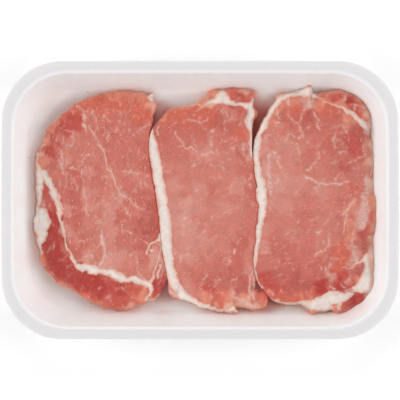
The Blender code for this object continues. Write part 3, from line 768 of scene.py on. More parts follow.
# %% The middle chop: tones
MIDDLE_TONES = {
    "pale": [(24, 27.5, 2), (-2, 25, 4), (5, 25, 4), (-14, 7, 4), (-1, 6, 4), (21, 7, 4), (-14, -4, 4),
        (-1, -4, 4), (12, -5, 4), (-14, -13, 4), (-12, -22, 4), (-5, -22, 4), (4, -22, 4), (-12, -30, 3),
        (-4, -30, 4), (25, -37, 2.5), (-7, -46, 3)],
    "cream": [(20.5, -56.5, 3), (24, 58.5, 2.5), (27, 35, 2), (14, -57, 2.4), (18.5, -56.3, 2.2),
        (24, -57, 3), (31, -57.5, 3), (27, -53, 2.5), (3, 53, 2.5)],
    # painted light: a lighter orange spot at the chop's free corner
    "glow": [(34.5, -56.5, 2.5)],
    "plum": [(20, 53, 3), (10, 41, 4), (17, -41, 4), (22, -46, 3)],
    "red": [(24, 55.5, 2), (4, -46, 3.5), (33, -50, 2), (22, 55, 4)],
    "coral": [(-14, 44, 5), (-6, 44, 5), (3, 44, 5), (23, 36, 4), (9, -52.5, 3), (31, -53.5, 2.5),
        (17, 55, 3), (28, 57, 2.5)],
    "shell": [(17, 45, 3), (6, 31, 4), (13, 24, 5), (-15, 17, 4), (-8, 18, 4), (0, 16, 5), (8, 16, 5),
        (16, 15, 4), (-7, 7, 4), (12, 6, 4), (5, -4, 4), (20, -4, 4), (2, -13, 5), (11, -14, 5),
        (19, -13, 5), (12, -23, 4), (27, -24, 2.5), (5, -30, 4), (26, -32, 3), (-10, -36, 4), (-8, -41, 3),
        (-2, -46, 3)],
    "brick": [(22, 44, 4), (-20, 38, 4), (-12, 38, 5), (-3, 38, 5), (4, 38, 4), (17, 38, 3),
        (-20, 32, 4), (22, 25, 3), (28, 13, 2.5), (28, 5, 2.5), (22, -23, 3.5), (20, -30, 3.5),
        (19, -36, 4), (-2, -41, 3), (4, -41, 4), (11, -41, 4), (22, -42, 3), (10, -46, 3), (27, -45, 1.5)],
    "peach": [(-20, 45, 2.5), (3, -52, 3), (15, -52.5, 3), (22, -52, 3), (7, 57, 3), (0, 53, 2.5)],
    "rose": [(-12, 31, 5), (-2, 31, 5), (12, 31, 4), (20, 30, 4), (-19, 26, 4), (-10, 25, 5),
        (22, 16, 4), (5, 6, 3), (27, -5, 3.5), (26, -13, 4), (13, -31, 4), (-3, -37, 3.5), (5, -36, 4),
        (12, -36, 4), (16, -46, 3)],
    "milk": [(27, 22, 2), (-8, -5, 4), (-7, -13, 4), (-16, -48, 2), (-12, -51.5, 2)],
    # painted shade: the darkest maroon where the gaps to the right chop lie in deep shade
    "blood": [(30.6, -45, 1.6), (32.6, -48.4, 1.3), (30.5, 45.5, 1.6)],
    "deep": [(22, 56, 2.5)]}
print(sum(map(len, MIDDLE_TONES.values())), "spots of tone")

# %% The right chop: fat, silver skin and marbling
RIGHT_FAT = [
    [(43, 54.2, 1), (47, 56.2, 1.5), (52, 57.7, 1.5), (57, 59, 1.8), (60, 58.6, 2.2), (60, 55.8, 1.6)],
    [(66, -51, 1.2), (69.5, -50, 1.5), (73, -49, 0.9)], [(48, -56, 0.8), (52, -57, 1), (56, -57.5, 1)],
    [(57.8, 57.9, 2.8), (55, 57, 2.1), (52, 56.4, 1.5), (49, 56.1, 1.4), (46, 55.2, 1.5),
     (43.5, 54.5, 1.7), (41.8, 53, 1.9), (39.6, 50.5, 1.6), (37.6, 47.5, 1.5), (36.3, 45, 1.5),
     (35.1, 42.5, 1.8), (33.8, 40, 1.7), (33.3, 38, 1.8), (32.6, 36.5, 1.6), (30.9, 34, 1.3),
     (30.4, 31, 1.6), (30.1, 28, 1.7), (29.7, 24, 1.6), (30.2, 20, 1.5), (30.4, 16, 1.6),
     (31.1, 12, 2.1), (32.4, 8, 2.4), (32.4, 4, 2.8), (32.6, 0.5, 3), (33.3, -3, 2.3), (33, -5, 2.2),
     (32.6, -8, 2), (31.7, -12, 1.6), (31.1, -15.5, 1.7), (31, -18, 1.8), (31, -20.5, 1.5),
     (30.3, -24, 1.4), (29.6, -28, 1.2), (29.1, -32, 0.9), (28.9, -36, 0.55), (29.6, -40, 0.45),
     (30.9, -43.5, 0.4), (33, -46.8, 0.3)],
    [(46.5, 55.5, 0.8), (46.6, 53.6, 0.4)],
    [(59, 57, 1.6), (60.8, 55.6, 0.6), (63, 54.2, 0.35), (66, 52.5, 0.3), (69.5, 51.2, 0.35),
     (72.8, 50.1, 0.5), (75.5, 48.8, 0.7), (78, 47.3, 0.9), (81, 45.2, 1.1), (84, 42.8, 1.4),
     (86.5, 40.3, 1.6), (88.5, 38, 1.4), (89.2, 36, 0.7), (89.5, 34.8, 0.3)],
    [(50.5, -54.7, 0.5), (54, -54.8, 1.1), (57, -55.3, 1.7), (60, -55.8, 2.7), (63, -55.6, 3.9),
     (66.5, -54.6, 3.9), (69.5, -52.6, 2.9), (73, -52.3, 2.9), (76, -51.8, 2.4), (79, -50.4, 1.5),
     (81, -49.4, 0.9)],
    [(64, -58.2, 1.6), (67, -57.8, 1.6), (69.5, -57.9, 1)],
    [(74.3, -53, 1.2), (74.2, -56, 0.8), (73.8, -58.4, 0.5)],
    [(38, -52.8, 0.5), (41, -54.2, 0.9), (43, -54.8, 0.9), (46, -55.3, 0.8), (50, -55.4, 0.9)],
    [(89, -29.5, 0.9), (87.5, -31.2, 1.6), (88.4, -33, 1.6), (88.8, -36, 1.5), (88.4, -39, 2.3),
     (88.2, -42, 3), (87, -44.8, 3.6), (84.5, -46.3, 2.6)],
    [(82.6, -47, 1.7), (86, -47, 2.1), (89, -46.6, 2.1)],
    [(86, -32, 0.9), (83.6, -33.3, 0.6), (82, -34.6, 0.35), (80, -36.5, 0.3), (77.5, -35.6, 0.25),
     (75, -35.7, 0.2)]]
RIGHT_SILVER = [
    [(88.2, 10, 0.7), (87.8, 5, 1.4), (87.2, 0, 2), (87, -5, 2.4), (86.5, -10, 2.7), (85.5, -14, 1.8)],
    [(83, -10.5, 0.5), (82.2, -14, 0.5), (81.5, -18, 0.5), (80.9, -22, 0.5), (81.5, -25.5, 0.7),
     (82.5, -29, 1.4), (82.5, -32, 1.6)],
    [(58.8, 53.5, 1.3), (58.6, 51.5, 1.6), (58.3, 50, 1.2)], [(46.8, 53, 0.7), (47, 50.5, 0.6)],
    [(77.3, 56.5, 0.4), (76.7, 53.5, 0.5), (75.5, 51.8, 0.5)],
    [(69.7, 58, 0.4), (68.5, 56.5, 0.4), (67.3, 55, 0.4)], [(82.4, 49.4, 0.6), (81.8, 47.5, 0.7)],
    [(69.5, -40, 0.5), (69.6, -44, 0.6), (70.2, -48, 0.6)], [(77.5, -43.5, 0.9), (79.5, -41.5, 0.9)],
    [(77, -48.7, 0.8), (80.5, -48, 1)], [(74, -55.5, 0.7), (72.8, -58, 0.6)],
    [(37, 24, 0.9), (36.5, 14, 1.2), (37.5, 4, 1.2)]]
RIGHT_VEINS = lines(
    (0.3, (47.2, 47), (46.9, 44.7), (48.3, 43.3), (49.8, 41.8), (51.7, 40.6), (52.6, 38.7), (53.2, 37),
     (54.5, 35.1), (54.1, 33.4), (52, 32.8)),
    (0.6, (54.5, 47.7), (54.9, 47.7)), (0.3, (54.8, 45.7), (53.6, 43.3), (52.6, 41.3)),
    (0.3, (60.6, 46.6), (61.5, 44.7), (62.6, 42.8), (62.7, 41.3), (62.5, 39.4), (63.5, 37.3)),
    (0.3, (41, 48.5), (41.1, 46.1), (41.6, 43.3)), (0.3, (46.9, 53.8), (46.8, 51.5), (47.6, 50)),
    (0.35, (56.8, 50), (58.5, 49.6), (60.3, 49.3)), (0.25, (40.2, 40.9), (43, 41.1)),
    (0.15, (40.5, 39.5), (42, 38.8)), (0.3, (46.9, 35.1), (46.2, 33.4), (45.1, 31.5)),
    (0.15, (46.8, 35), (48.5, 35.3), (50, 33.5), (52, 32.8)), (0.2, (39.8, 32.3), (40.3, 32)),
    (0.25, (40.6, 30.3), (42.3, 29.3)), (0.65, (39.2, 25.2), (39.4, 25.2)),
    (0.15, (36.5, 26.8), (38.5, 26)), (0.25, (41.4, 22.6), (41, 20.7), (42.1, 18.3), (43, 17.3)),
    (0.2, (41.4, 12.6), (41.7, 10.4), (40.4, 8.7)), (0.4, (50.8, 29.4), (51.4, 29.4)),
    (0.2, (51.9, 27.4), (53.1, 24.6)), (0.3, (57.2, 38.9), (57.4, 38.9)),
    (0.15, (56.8, 30.8), (57.5, 30.6)), (0.15, (62.3, 30), (64, 30)), (0.3, (65.7, 25.3), (65.9, 25.3)),
    (0.3, (62.6, 24.7), (63, 24.7)),
    (0.25, (63.4, 22.2), (62, 20.7), (60.1, 19.3), (59.1, 17.8), (58.4, 16.2)),
    (0.4, (57, 15.8), (57.8, 15.7)),
    (0.4, (56.2, 11.8), (57.9, 11.8), (58.9, 11.3), (60.1, 10.1), (62, 8.9)),
    (0.5, (56.2, 12.2), (56.5, 11.6)),
    (0.3, (62, 8.9), (64.2, 8.7), (68, 8.4), (70.4, 8.6), (73.8, 8.4), (76.6, 9.4), (79, 9.9)),
    (0.3, (62.5, 8.8), (62.6, 7.2), (61.2, 6.4)),
    (0.25, (74.2, 14), (73, 12.6), (72.5, 11.4), (71.7, 10)), (0.2, (71.6, 12), (72.2, 11)),
    (0.15, (76, 14.5), (76.3, 12.3)),
    (0.25, (71.4, 35.6), (71.6, 33.4), (70.6, 32.2), (70.9, 30.3), (70.9, 28.4), (72.3, 27.4)),
    (0.2, (70, 32.4), (73, 32.2)), (0.2, (75.9, 39.9), (76.6, 37.5), (78, 34.6)),
    (0.15, (79, 33), (79, 31.5)), (0.15, (70, 37.5), (70.7, 39), (74.5, 38.8), (76, 38.5), (78, 39.2)),
    (0.2, (73, 46.5), (74.2, 47.7), (74, 46.2)), (0.15, (69.3, 47), (69.7, 45.3)),
    (0.2, (76.4, 42.5), (76.6, 42.5)), (0.2, (77.9, 42), (78.1, 42)), (0.3, (74.2, 25.5), (77.3, 25.5)),
    (0.25, (85.8, 33.2), (86, 31.3), (87, 29.4), (87, 26.5), (87.2, 23.9), (85.3, 22.9), (83.4, 21.9),
     (81.5, 20.7), (78.1, 19.5)),
    (0.15, (81, 16.9), (84.7, 16.9)), (0.2, (86.3, 15), (86.4, 13)), (0.2, (86.8, 20), (86.7, 16)),
    (0.35, (90.9, 15), (90.4, 12.1), (90.1, 9.7), (90, 7.5)), (0.2, (50.7, 4), (50.9, 4)),
    (0.2, (39.2, 1), (39.4, 1)), (0.3, (82.5, 50), (85.4, 49.5), (87.7, 49.3)),
    (0.3, (80.5, 51), (82.9, 50)),
    (0.3, (68, -20.4), (68.5, -22.5), (68.9, -24.5), (66.5, -26.2), (64.6, -27.1), (62.5, -28.3),
     (61.1, -29.7)),
    (0.35, (76.1, -17.8), (76.6, -14.9), (77.1, -12), (77.3, -9.1), (78, -7)),
    (0.3, (75.2, -7.9), (77.1, -6), (79, -3.8), (80.7, -1.7), (82, 0.2)),
    (0.3, (45.3, -28.7), (45.5, -28.7)), (0.2, (44.7, -34.2), (44.9, -34.2)),
    (0.35, (42, -32.2), (42, -32.9)), (0.2, (33.7, -27.7), (35.4, -27.7), (37.5, -28.3)),
    (0.2, (45.2, -18.7), (46.9, -17.8), (48.8, -16.6), (50.3, -16.7)),
    (0.3, (51.8, -11.5), (52.2, -11.5)), (0.3, (58.4, -10.6), (59, -10.5)),
    (0.15, (60, -10), (62.3, -9.5)), (0.2, (48.1, -5), (48.3, -5)), (0.2, (48.1, -8.5), (48.3, -8.5)),
    (0.35, (61.2, -17), (63.5, -16.8)), (0.35, (65.4, -22), (65.6, -22.6)),
    (0.35, (52.3, -26), (52.7, -26)), (0.35, (72.9, -12.3), (73.2, -12.3)),
    (0.25, (69.9, -7.5), (70.1, -7.5)), (0.2, (73.5, -22.5), (73.6, -23.2)),
    (0.2, (73.6, -27), (74, -27)), (0.25, (68.5, -18.1), (69, -18)), (0.15, (65.4, -13), (68.3, -10.3)),
    (0.15, (61.2, -19), (64, -16.5)), (0.2, (67.3, -28.8), (67.2, -30)), (0.2, (66, -31), (65.9, -32)),
    (0.2, (68.7, -33), (68.6, -35)), (0.2, (64, -35.5), (64.1, -37)),
    (0.25, (66.5, -36.4), (67, -38.4), (68, -39.8)), (0.2, (68, -36), (69, -34)),
    (0.2, (71.3, -31), (73, -31.2)), (0.25, (79, -24.6), (80.2, -24.3)),
    (0.25, (36.6, -48), (39.2, -50.1)), (0.15, (42.3, -47.5), (43.5, -49.2)),
    (0.15, (56.2, -47.5), (56.4, -49)), (0.3, (75, -45), (76.5, -46)), (0.3, (71, -47), (71.4, -47.2)))
print("right chop:", len(RIGHT_FAT), "fat strokes,", len(RIGHT_VEINS), "veins")

# %% The right chop: tones
RIGHT_TONES = {
    "red": [(59, -49.5, 3), (87, 27.5, 3), (73, 56.5, 3), (84, 53, 3), (84, 48, 3), (86, 33, 3.5),
        (80, 31, 3.5), (84, 26, 4), (87, -18, 3), (34, -41, 3.5), (74, -40, 3), (36, -46, 3.5),
        (42, -47, 4), (80, -44.5, 2), (78, -56, 3)],
    "coral": [(63, 56, 3), (69, 55, 3), (86, 46, 3), (50, 47, 4), (64, 47, 3.5), (68, 48, 3),
        (74, 46, 3), (88, 25, 3), (88, 17, 3), (81, 6, 3), (91.5, -8, 2.5), (91, -15, 2), (75, -28, 3.5),
        (75, -33, 3.5), (38, -51, 2.5), (44, -53, 3), (50, -52, 3), (68, -56.5, 1.6), (74.5, -57.5, 2)],
    "peach": [(69.5, 52, 2.2), (73, 52, 2.2), (76.5, 51.5, 2), (45, 52, 2.5), (51, 53, 3), (63, 51, 3),
        (80, 42, 3), (41, 47, 2), (38, 41, 2), (91, -1, 2.5), (80, -4, 2.5), (79.5, -13, 2.5),
        (79, -20, 2.5), (56, -51, 3), (60, -59, 2.5), (71, -58, 1.8), (83, -41, 1.8), (86.5, -44, 3)],
    "deep": [(81, 53.5, 3.6), (64, -45, 3.5), (74, -45, 3), (82, -53, 3.5), (86, -51, 2.5),
        (84, -55, 2.5)],
    "cream": [(89, 43, 2.5), (92, -24, 2.6)],
    "milk": [(58, 52, 2.5), (34, 32, 2.5), (39, 24, 3), (35, 17, 3), (36, 8, 2.5), (41, 8, 3.5),
        (86.5, -5, 3), (86, -12, 3)],
    "brick": [(45, 44, 3.5), (51, 42, 3), (69, 43, 4), (57, 37, 4), (69, 37, 4), (69, 31, 4),
        (75, 30, 3), (69, 25, 4), (81, 19, 3.5), (84, -20, 2.5), (40, -27, 4), (46, -27, 3.5), (70, -28, 3),
        (87, -28, 2), (46, -34, 4), (52, -34, 4), (64, -34, 3.5), (46, -40, 4), (57, -39, 3.5),
        (63, -40, 3.5), (69, -46, 2)],
    "plum": [(57, 43, 4), (81, 37, 3), (77, 17, 3), (87, -24, 3), (83.5, -37, 2.5), (40, -41, 4),
        (51, -40, 4), (49, -46, 4), (56, -46, 4)],
    "rose": [(63, 43, 3), (75, 43, 3), (45, 37, 4), (51, 37, 3.5), (63, 37, 4), (75, 37, 3),
        (63, 31, 4), (57, 24, 4), (63, 25, 4), (75, 24, 3), (57, 18, 3), (69, 17, 4), (83, 13, 3),
        (57, -3, 3.5), (75, -1, 3), (52, -10, 3.5), (57, -10, 3.5), (74, -11, 3), (40, -19, 4),
        (58, -18, 4), (75, -20, 3), (52, -26, 3.5), (58, -26, 4), (33, -34, 3.5), (40, -34, 4),
        (58, -34, 4), (80, -41, 2.5)],
    "shell": [(40, 37, 3), (39, 31, 3), (51, 31, 4), (57, 31, 4), (45, 24, 4), (52, 18, 4), (63, 18, 4),
        (58, 7, 3), (70, 6, 3.5), (75, 6, 3), (86.5, 5, 2.5), (52, -2, 4), (63, -3, 4), (69, -2, 4),
        (40, -11, 4), (46, -10, 4), (63, -10, 4), (69, -11, 4), (46, -18, 4), (52, -18, 4), (64, -18, 4),
        (70, -19, 4), (64, -27, 3.5), (69, -34, 2.5)],
    "pale": [(45, 30, 4), (34, 25, 3), (51, 25, 4), (40, 16, 3.5), (46, 16, 4), (47, 8, 4), (53, 9, 4),
        (64, 5, 4), (40, -2, 4), (46, -3, 4), (35, -16, 3), (34, -25, 3), (82, -28, 3), (80.5, -34, 2.5),
        (69, -40, 2)],
    "rind": [(92.7, 39, 2.8), (92.9, 33, 2.8), (93.2, 27, 2.9), (93.4, 21, 3.1), (93.8, 15, 3.4),
        (94.4, 9, 3.2), (95, 3, 2.6), (92.6, -29, 3), (93, -36, 3.2), (93, -42, 3.2), (93, -47, 2.6)]}
print(sum(map(len, RIGHT_TONES.values())), "spots of tone")

# %% [markdown]
# ## The chops' shape
#
# A raw slice is soft: its cut face is nearly flat but swells a little, its edges are rounded where
# they are free and square where a neighbour presses, and its underside takes the shape of the tray.
# It could be sculpted, or a flat outline could be given a Bevel modifier. Here each chop is a stack
# of rings worked out at once. The rings of the cut face shrink towards the chop's middle, the
# shoulder is a quarter circle, and the side may flare where a rind or a fold stands out below.

# %% The seat: the tray's inner surface under a chop
CLEARANCE = 0.08  # between a chop and the tray, in mm


def inset_at(x, y):
    """The inset of the tray outline that passes through each point, found by halving a range."""
    full_x, full_y = bowed(x, y)
    x = np.abs(x * x / np.where(full_x == 0.0, 1.0, full_x))
    y = np.abs(y * y / np.where(full_y == 0.0, 1.0, full_y))
    low, high = np.zeros_like(x), np.full_like(x, TRAY_WIDTH / 4.0)
    for _ in range(20):
        half = (low + high) / 2.0
        half_x, half_y, radius = half_sizes(half)
        past_x, past_y = x - half_x + radius, y - half_y + radius
        outside = (np.hypot(np.maximum(past_x, 0.0), np.maximum(past_y, 0.0))
                   + np.minimum(np.maximum(past_x, past_y), 0.0) - radius)
        low, high = np.where(outside < 0.0, half, low), np.where(outside < 0.0, high, half)
    return low


def seat_height(x, y):
    """Height of the tray's inner surface, read from its section at each point's inset."""
    return np.interp(inset_at(x, y), inner_section[:, 0], inner_section[:, 1])


print("seat at the middle and near the left wall:", seat_height(np.array([0.0, -90.0]), np.zeros(2)))

# %% The chops' relief
CROWN = 1.4  # how far the middle of the cut face stands above its edge, in mm
EDGE_TOP = 15.0  # height of that edge above the table, in mm
SHOULDER_FREE, SHOULDER_SEAM = 2.5, 0.22  # radius of the top edge, where it is free and at a seam
FOOT_ROUND = 1.0  # radius of the bottom edge, in mm
FAT_PROUD = 0.35  # how far fat stands out of the lean, in mm
# "edge" is the tone painted into the lean at free edges as painted light, the lighter edge that light going
# a little way into the meat gives; on the right chop it is cream, partly painted light and partly the pale
# colour of its rind.
# Dips, trims and flares are hills: x, y, reach and amount, all in mm. Dips add to the height of the
# cut face, trims take away from a free outline, and flares push the side out below the shoulder.
CHOPS = {
    "left": {
        "middle": (-53.0, 0.0), "fat": LEFT_FAT, "silver": LEFT_SILVER, "vein": LEFT_VEINS,
        "tones": LEFT_TONES, "edge": "glow", "seed": 31, "trims": [],
        "dips": [(-77, -28, 8, -0.8), (-58, -47, 10, -0.9), (-80, 4, 4, -0.5), (-25, 54, 3, -1.0),
                 (-20, -46, 4, -1.0), (-20, 46, 5, -1.4), (-50, 62, 14, -2.6), (-76, 47, 8, -1.0),
                 (-45, -62, 12, -1.2)],
        "flares": [(-84, -33, 5, 0.9), (-75, -44, 6, 0.9), (-83, 33, 4, 0.9), (-88, 10, 14, 0.8),
                   (-88, -14, 9, 0.8)]},
    "middle": {
        "middle": (3.5, 0.0), "fat": MIDDLE_FAT, "silver": MIDDLE_SILVER, "vein": MIDDLE_VEINS,
        "tones": MIDDLE_TONES, "edge": "glow", "seed": 57,
        "trims": [(11, 60, 6, 0.6), (25, 60, 6, 0.6)],
        "dips": [(-24, 41, 5, -1.4), (28, 42, 4, -1.2), (5, 57, 5, -3.0), (22, 57, 6, -2.0),
                 (14, 58, 4, -1.5), (31, -50, 4, -1.6), (16, -59, 5, -0.8)],
        "flares": [(-15, -50, 3.5, 1.0), (29, 45.5, 3, 2.2)]},
    "right": {
        "middle": (61.0, -1.0), "fat": RIGHT_FAT, "silver": RIGHT_SILVER, "vein": RIGHT_VEINS,
        "tones": RIGHT_TONES, "edge": "cream", "seed": 83,
        "trims": [(91, 44, 6, 1.5), (92, 24, 11, 1.0), (93, 4, 9, 0.7), (91, -21, 5, 1.0),
                  (92, -38, 9, 0.8)],
        "dips": [(33, 44, 5, -1.2), (60, -60, 4, -2.5), (82, -55, 6, -2.0), (76, 60, 10, -1.6),
                 (52, 60, 10, -2.0), (88, 47, 5, -0.8), (45, -60, 8, -1.0), (92, 20, 12, 0.8),
                 (92, -38, 9, 0.4)],
        "flares": [(89, 44, 7, 1.6), (90, 28, 7, 3.0), (90, 21, 10, 3.8), (90, 10, 9, 3.6),
                   (93, -5, 7, 2.4), (90, -21, 6, 2.0), (90, -34, 8, 2.6), (90, -43, 7, 2.4),
                   (85, -55, 6, 2.6)]}}


def softened(loop, reach):
    """Each point of a closed loop becomes the mean of its neighbours within the reach."""
    share = np.exp(-(np.arange(-3 * reach, 3 * reach + 1) / reach) ** 2)
    parts = [np.roll(loop, k, axis=0) * w for k, w in zip(range(-3 * reach, 3 * reach + 1), share)]
    return np.sum(parts, axis=0) / share.sum()


def outward(loop):
    """Unit vectors that point out of a loop that runs anticlockwise: its direction turned right."""
    along = softened(np.roll(loop, -1, axis=0) - np.roll(loop, 1, axis=0), 6)
    along /= np.hypot(*along.T)[:, None]
    return np.column_stack([along[:, 1], -along[:, 0]])


def gap_beside(name):
    """How far each point of an outline is from the nearest neighbour, in mm."""
    others = np.concatenate([other for key, other in outlines.items() if key != name])
    return distance_to(others, *outlines[name].T)


print("widest gap beside each chop:", {name: round(float(gap_beside(name).max())) for name in CHOPS})

# %% The cut face
TOP_ROWS, SHOULDER_ROWS, SIDE_ROWS, FOOT_ROWS = 98, 8, 9, 4
THINNEST = 2.8  # of a slice, where it thins out against the tray's wall, in mm
SLUMP, SLUMP_REACH = 2.6, 7.0  # how much a free edge sags, and how far in that starts, in mm
NEIGHBOURS = 14  # rings further in follow the outline's mean over this many points each way
WARP = ((0.25, 6.0), (0.12, 2.2))  # height and size of the ripples that bend drawn lines, in mm
FACE_WAVES = ((0.22, 16.0), (0.10, 6.0))  # height and size of the cut face's soft waves, in mm


def drawn_depths(chop, x, y):
    """The depth in the drawn strokes at each point. The drawing is warped a little, so that no line
    is too clean: each point looks it up at a place a fraction of a millimetre away."""
    seed = chop["seed"]
    warped_x, warped_y = x + ripples(x, y, WARP, seed), y + ripples(x, y, WARP, seed + 2)
    return {key: depth_in(chop[key], warped_x, warped_y) for key in ("fat", "vein", "silver")}


def cut_face(chop, loop, edge_loop, hangs):
    """Rings from the chop's middle to the edge of its cut face, and how far each point is from the
    outline. The face is crowned, dips where drawn, sags where it hangs, and fat stands proud."""
    middle, seed = np.array(chop["middle"]), chop["seed"]
    shares = np.linspace(0.0, 1.0, TOP_ROWS + 1)[1:, None, None]
    shifts = range(-NEIGHBOURS, NEIGHBOURS + 1)
    soft_loop = sum(np.roll(edge_loop, shift, axis=0) for shift in shifts) / len(shifts)
    top = middle + shares * (mix(soft_loop, edge_loop, shares ** 12) - middle)
    x, y = top[..., 0], top[..., 1]
    depths = drawn_depths(chop, x, y)
    way_in = np.hypot(*(top - loop).transpose(2, 0, 1))
    uneven_fat = FAT_PROUD * (1.0 + 0.4 * ripple(x, y, 3.0, seed + 10))
    height = (EDGE_TOP + CROWN * (1.0 - shares[..., 0] ** 2) + hills(chop["dips"], x, y)
              - SLUMP * hangs * np.exp(-(way_in / SLUMP_REACH) ** 2)
              + ripples(x, y, FACE_WAVES, seed + 8)
              + uneven_fat * smooth_step(-0.5, 0.9, depths["fat"])
              + 0.05 * smooth_step(-0.3, 0.3, depths["vein"]))
    thin = seat_height(x, y) + CLEARANCE + THINNEST
    height = thin + 0.5 * (height - thin + np.hypot(height - thin, 0.8))  # a soft maximum of both
    return np.concatenate([top, height[..., None]], axis=-1), way_in


print("points in each cut face:", TOP_ROWS * COLUMNS)

# %% [markdown]
# The sides need more care than the face, because the tray's wall leans and each chop has its own
# room beside it. A Shrinkwrap modifier could pull a side onto the tray, but it would bunch the
# rings up where the wall is steep. So the room is measured first: how far out the wall stands at
# each height. A free side flares up to that, a side that a neighbour presses goes straight down
# the seam, and the foot turns under to lie on the floor.

# %% The sides
UNDERCUT = 0.45  # how much further a free side reaches at its foot than at its shoulder, in mm
FOOT_TOP = FOAM + CLEARANCE + FOOT_ROUND  # height at which the bottom edge starts to turn under
TO_NEIGHBOUR = SEAM_GAP / 2.0 - 0.005  # how far a pressed side fills the seam, all but closing it
WALL_SEARCH = np.linspace(-9.0, 6.0, 121)  # mm out of the outline at which the wall is measured


def quarter(rows):
    """Angles in equal steps round a quarter circle, without its start."""
    return np.radians(np.linspace(0.0, 90.0, rows + 1))[1:]


def wall_finder(loop, out):
    """Gives a function that says how far outwards of each point the tray's wall stands at height z.
    It reads between the two places of the search that the height lies between."""
    places = (loop[..., None] + out[..., None] * WALL_SEARCH).transpose(1, 0, 2)
    walls, column = seat_height(*places) + CLEARANCE, np.arange(len(loop))

    def room_at(z):
        after = np.clip((walls < z).sum(axis=1), 1, WALL_SEARCH.size - 1)
        low, high = walls[column, after - 1], walls[column, after]
        share = np.clip((z[:, 0] - low) / np.maximum(high - low, 1e-6), 0.0, 1.0)
        return mix(WALL_SEARCH[after - 1], WALL_SEARCH[after], share)[:, None]

    return room_at


def side_rings(chop, loop, out, edge, free, round_off):
    """Rings round the shoulder and down the side. They stop at the tray's wall, and soft meat fills
    a narrow gap to it."""
    room_at, seed = wall_finder(loop, out), chop["seed"]
    flare = hills(chop["flares"], *loop.T, highest=True)[:, None] * free
    fall = np.minimum(round_off, 0.6 * (edge - FOOT_TOP))
    steps = []
    for turn in quarter(SHOULDER_ROWS):
        drop = 1.0 - math.cos(turn)
        steps.append((edge - fall * drop, flare * drop - round_off * (1.0 - math.sin(turn))))
    for share in np.linspace(0.0, 1.0, SIDE_ROWS + 1)[1:]:
        uneven = ripple(loop[:, 0] + 9.0 * share, loop[:, 1], 5.0, seed + 11)[:, None]
        uneven = 0.2 * math.sin(math.pi * share) * uneven
        reach = flare + free * (UNDERCUT * share + uneven) + (1.0 - free) * TO_NEIGHBOUR
        steps.append((mix(edge - fall, FOOT_TOP, share), reach))
    rings = []
    for z, reach in steps:
        room = room_at(z)
        pressed_on = free * (1.0 - smooth_step(0.5, 1.8, room - reach))
        reach = mix(np.minimum(reach, room), room, pressed_on)
        rings.append(np.concatenate([loop + out * reach, z], axis=-1))
    return rings


print("a free side starts to turn under", round(FOOT_TOP - FOAM, 2), "mm above the tray's floor")

# %% The underside
UNDER_CHOP = (0.92, 0.78, 0.62, 0.46, 0.30, 0.15, 0.05)  # sizes of the rings under a chop


def under_rings(chop, out, last):
    """Rings that turn under at the foot and then shrink to the middle of the underside."""
    middle = np.array(chop["middle"])
    steps = [(last - out * FOOT_ROUND * (1.0 - math.cos(turn)), FOOT_TOP - FOOT_ROUND * math.sin(turn))
             for turn in quarter(FOOT_ROWS)]
    flat = steps[-1][0] - middle
    steps += [(middle + share * flat, FOOT_TOP - FOOT_ROUND) for share in UNDER_CHOP]
    return [np.column_stack([place, np.full(len(place), z)]) for place, z in steps]


print("rings in each chop:", TOP_ROWS + SHOULDER_ROWS + SIDE_ROWS + FOOT_ROWS + len(UNDER_CHOP))

# %% Building a chop
EDGE_WAVES = ((0.05, 2.4), (0.16, 6.0))  # height and size of ripples along free edges, in mm
EDGE_LIGHT_REACH = 1.3  # how far in from a free edge the lean is painted lighter, as painted light, in mm
SEAM_SHADE = 0.7  # how far in from a seam the painted shade reaches, in mm


def chop_rings(name):
    """A chop's rings, and from 0 to 1 how much painted light each point gets at a free edge and low on a
    free side, and how much painted shade at a seam. Its outline is first made a little uneven where it is
    free."""
    chop, loop, gap = CHOPS[name], outlines[name], gap_beside(name)[:, None]
    free, open_side = smooth_step(0.6, 4.0, gap), smooth_step(2.5, 7.0, gap)
    at_seam = 1.0 - smooth_step(0.3, 3.0, gap)
    seed, out = chop["seed"], outward(loop)
    shift = ripples(*loop.T, EDGE_WAVES, seed + 6) - hills(chop["trims"], *loop.T) - UNDERCUT
    loop = loop + out * shift[:, None] * free

    round_off = mix(SHOULDER_SEAM, SHOULDER_FREE, free)
    hangs = open_side[:, 0] * (1.0 - smooth_step(5.0, 10.0, seat_height(*loop.T)))
    top, way_in = cut_face(chop, loop, loop - out * round_off, hangs)
    sides = side_rings(chop, loop, out, top[-1, :, 2:], free, round_off)
    rings = np.concatenate([top, sides, under_rings(chop, out, sides[-1][:, :2])])
    rings[..., 2] = np.maximum(rings[..., 2], seat_height(rings[..., 0], rings[..., 1]) + CLEARANCE)

    # painted light: the lean is painted lighter in patches near a free edge, and all down the side
    inwards = np.maximum(((loop - rings[..., :2]) * out).sum(axis=-1), 0.0)
    patchy = 0.45 + 0.55 * smooth_step(-0.5, 0.7, ripple(*loop.T, 11.0, seed + 12))
    edge_light = patchy * np.exp(-(inwards / EDGE_LIGHT_REACH) ** 2)
    edge_light[TOP_ROWS + SHOULDER_ROWS:] = 1.0
    # painted light low on a free side, where the meat meets the tray
    row = np.arange(len(rings))[:, None] - TOP_ROWS - SHOULDER_ROWS
    low = smooth_step(0.0, 0.7 * SIDE_ROWS, row)
    # painted shade: darker near a seam, and all down a side that a neighbour presses
    painted_shade_share = np.ones(rings.shape[:2])
    painted_shade_share[:TOP_ROWS] = 0.7 * np.exp(-(way_in / SEAM_SHADE) ** 2)
    return rings, edge_light * open_side[:, 0], low * open_side[:, 0], painted_shade_share * at_seam[:, 0]


print("chops to build:", ", ".join(CHOPS))
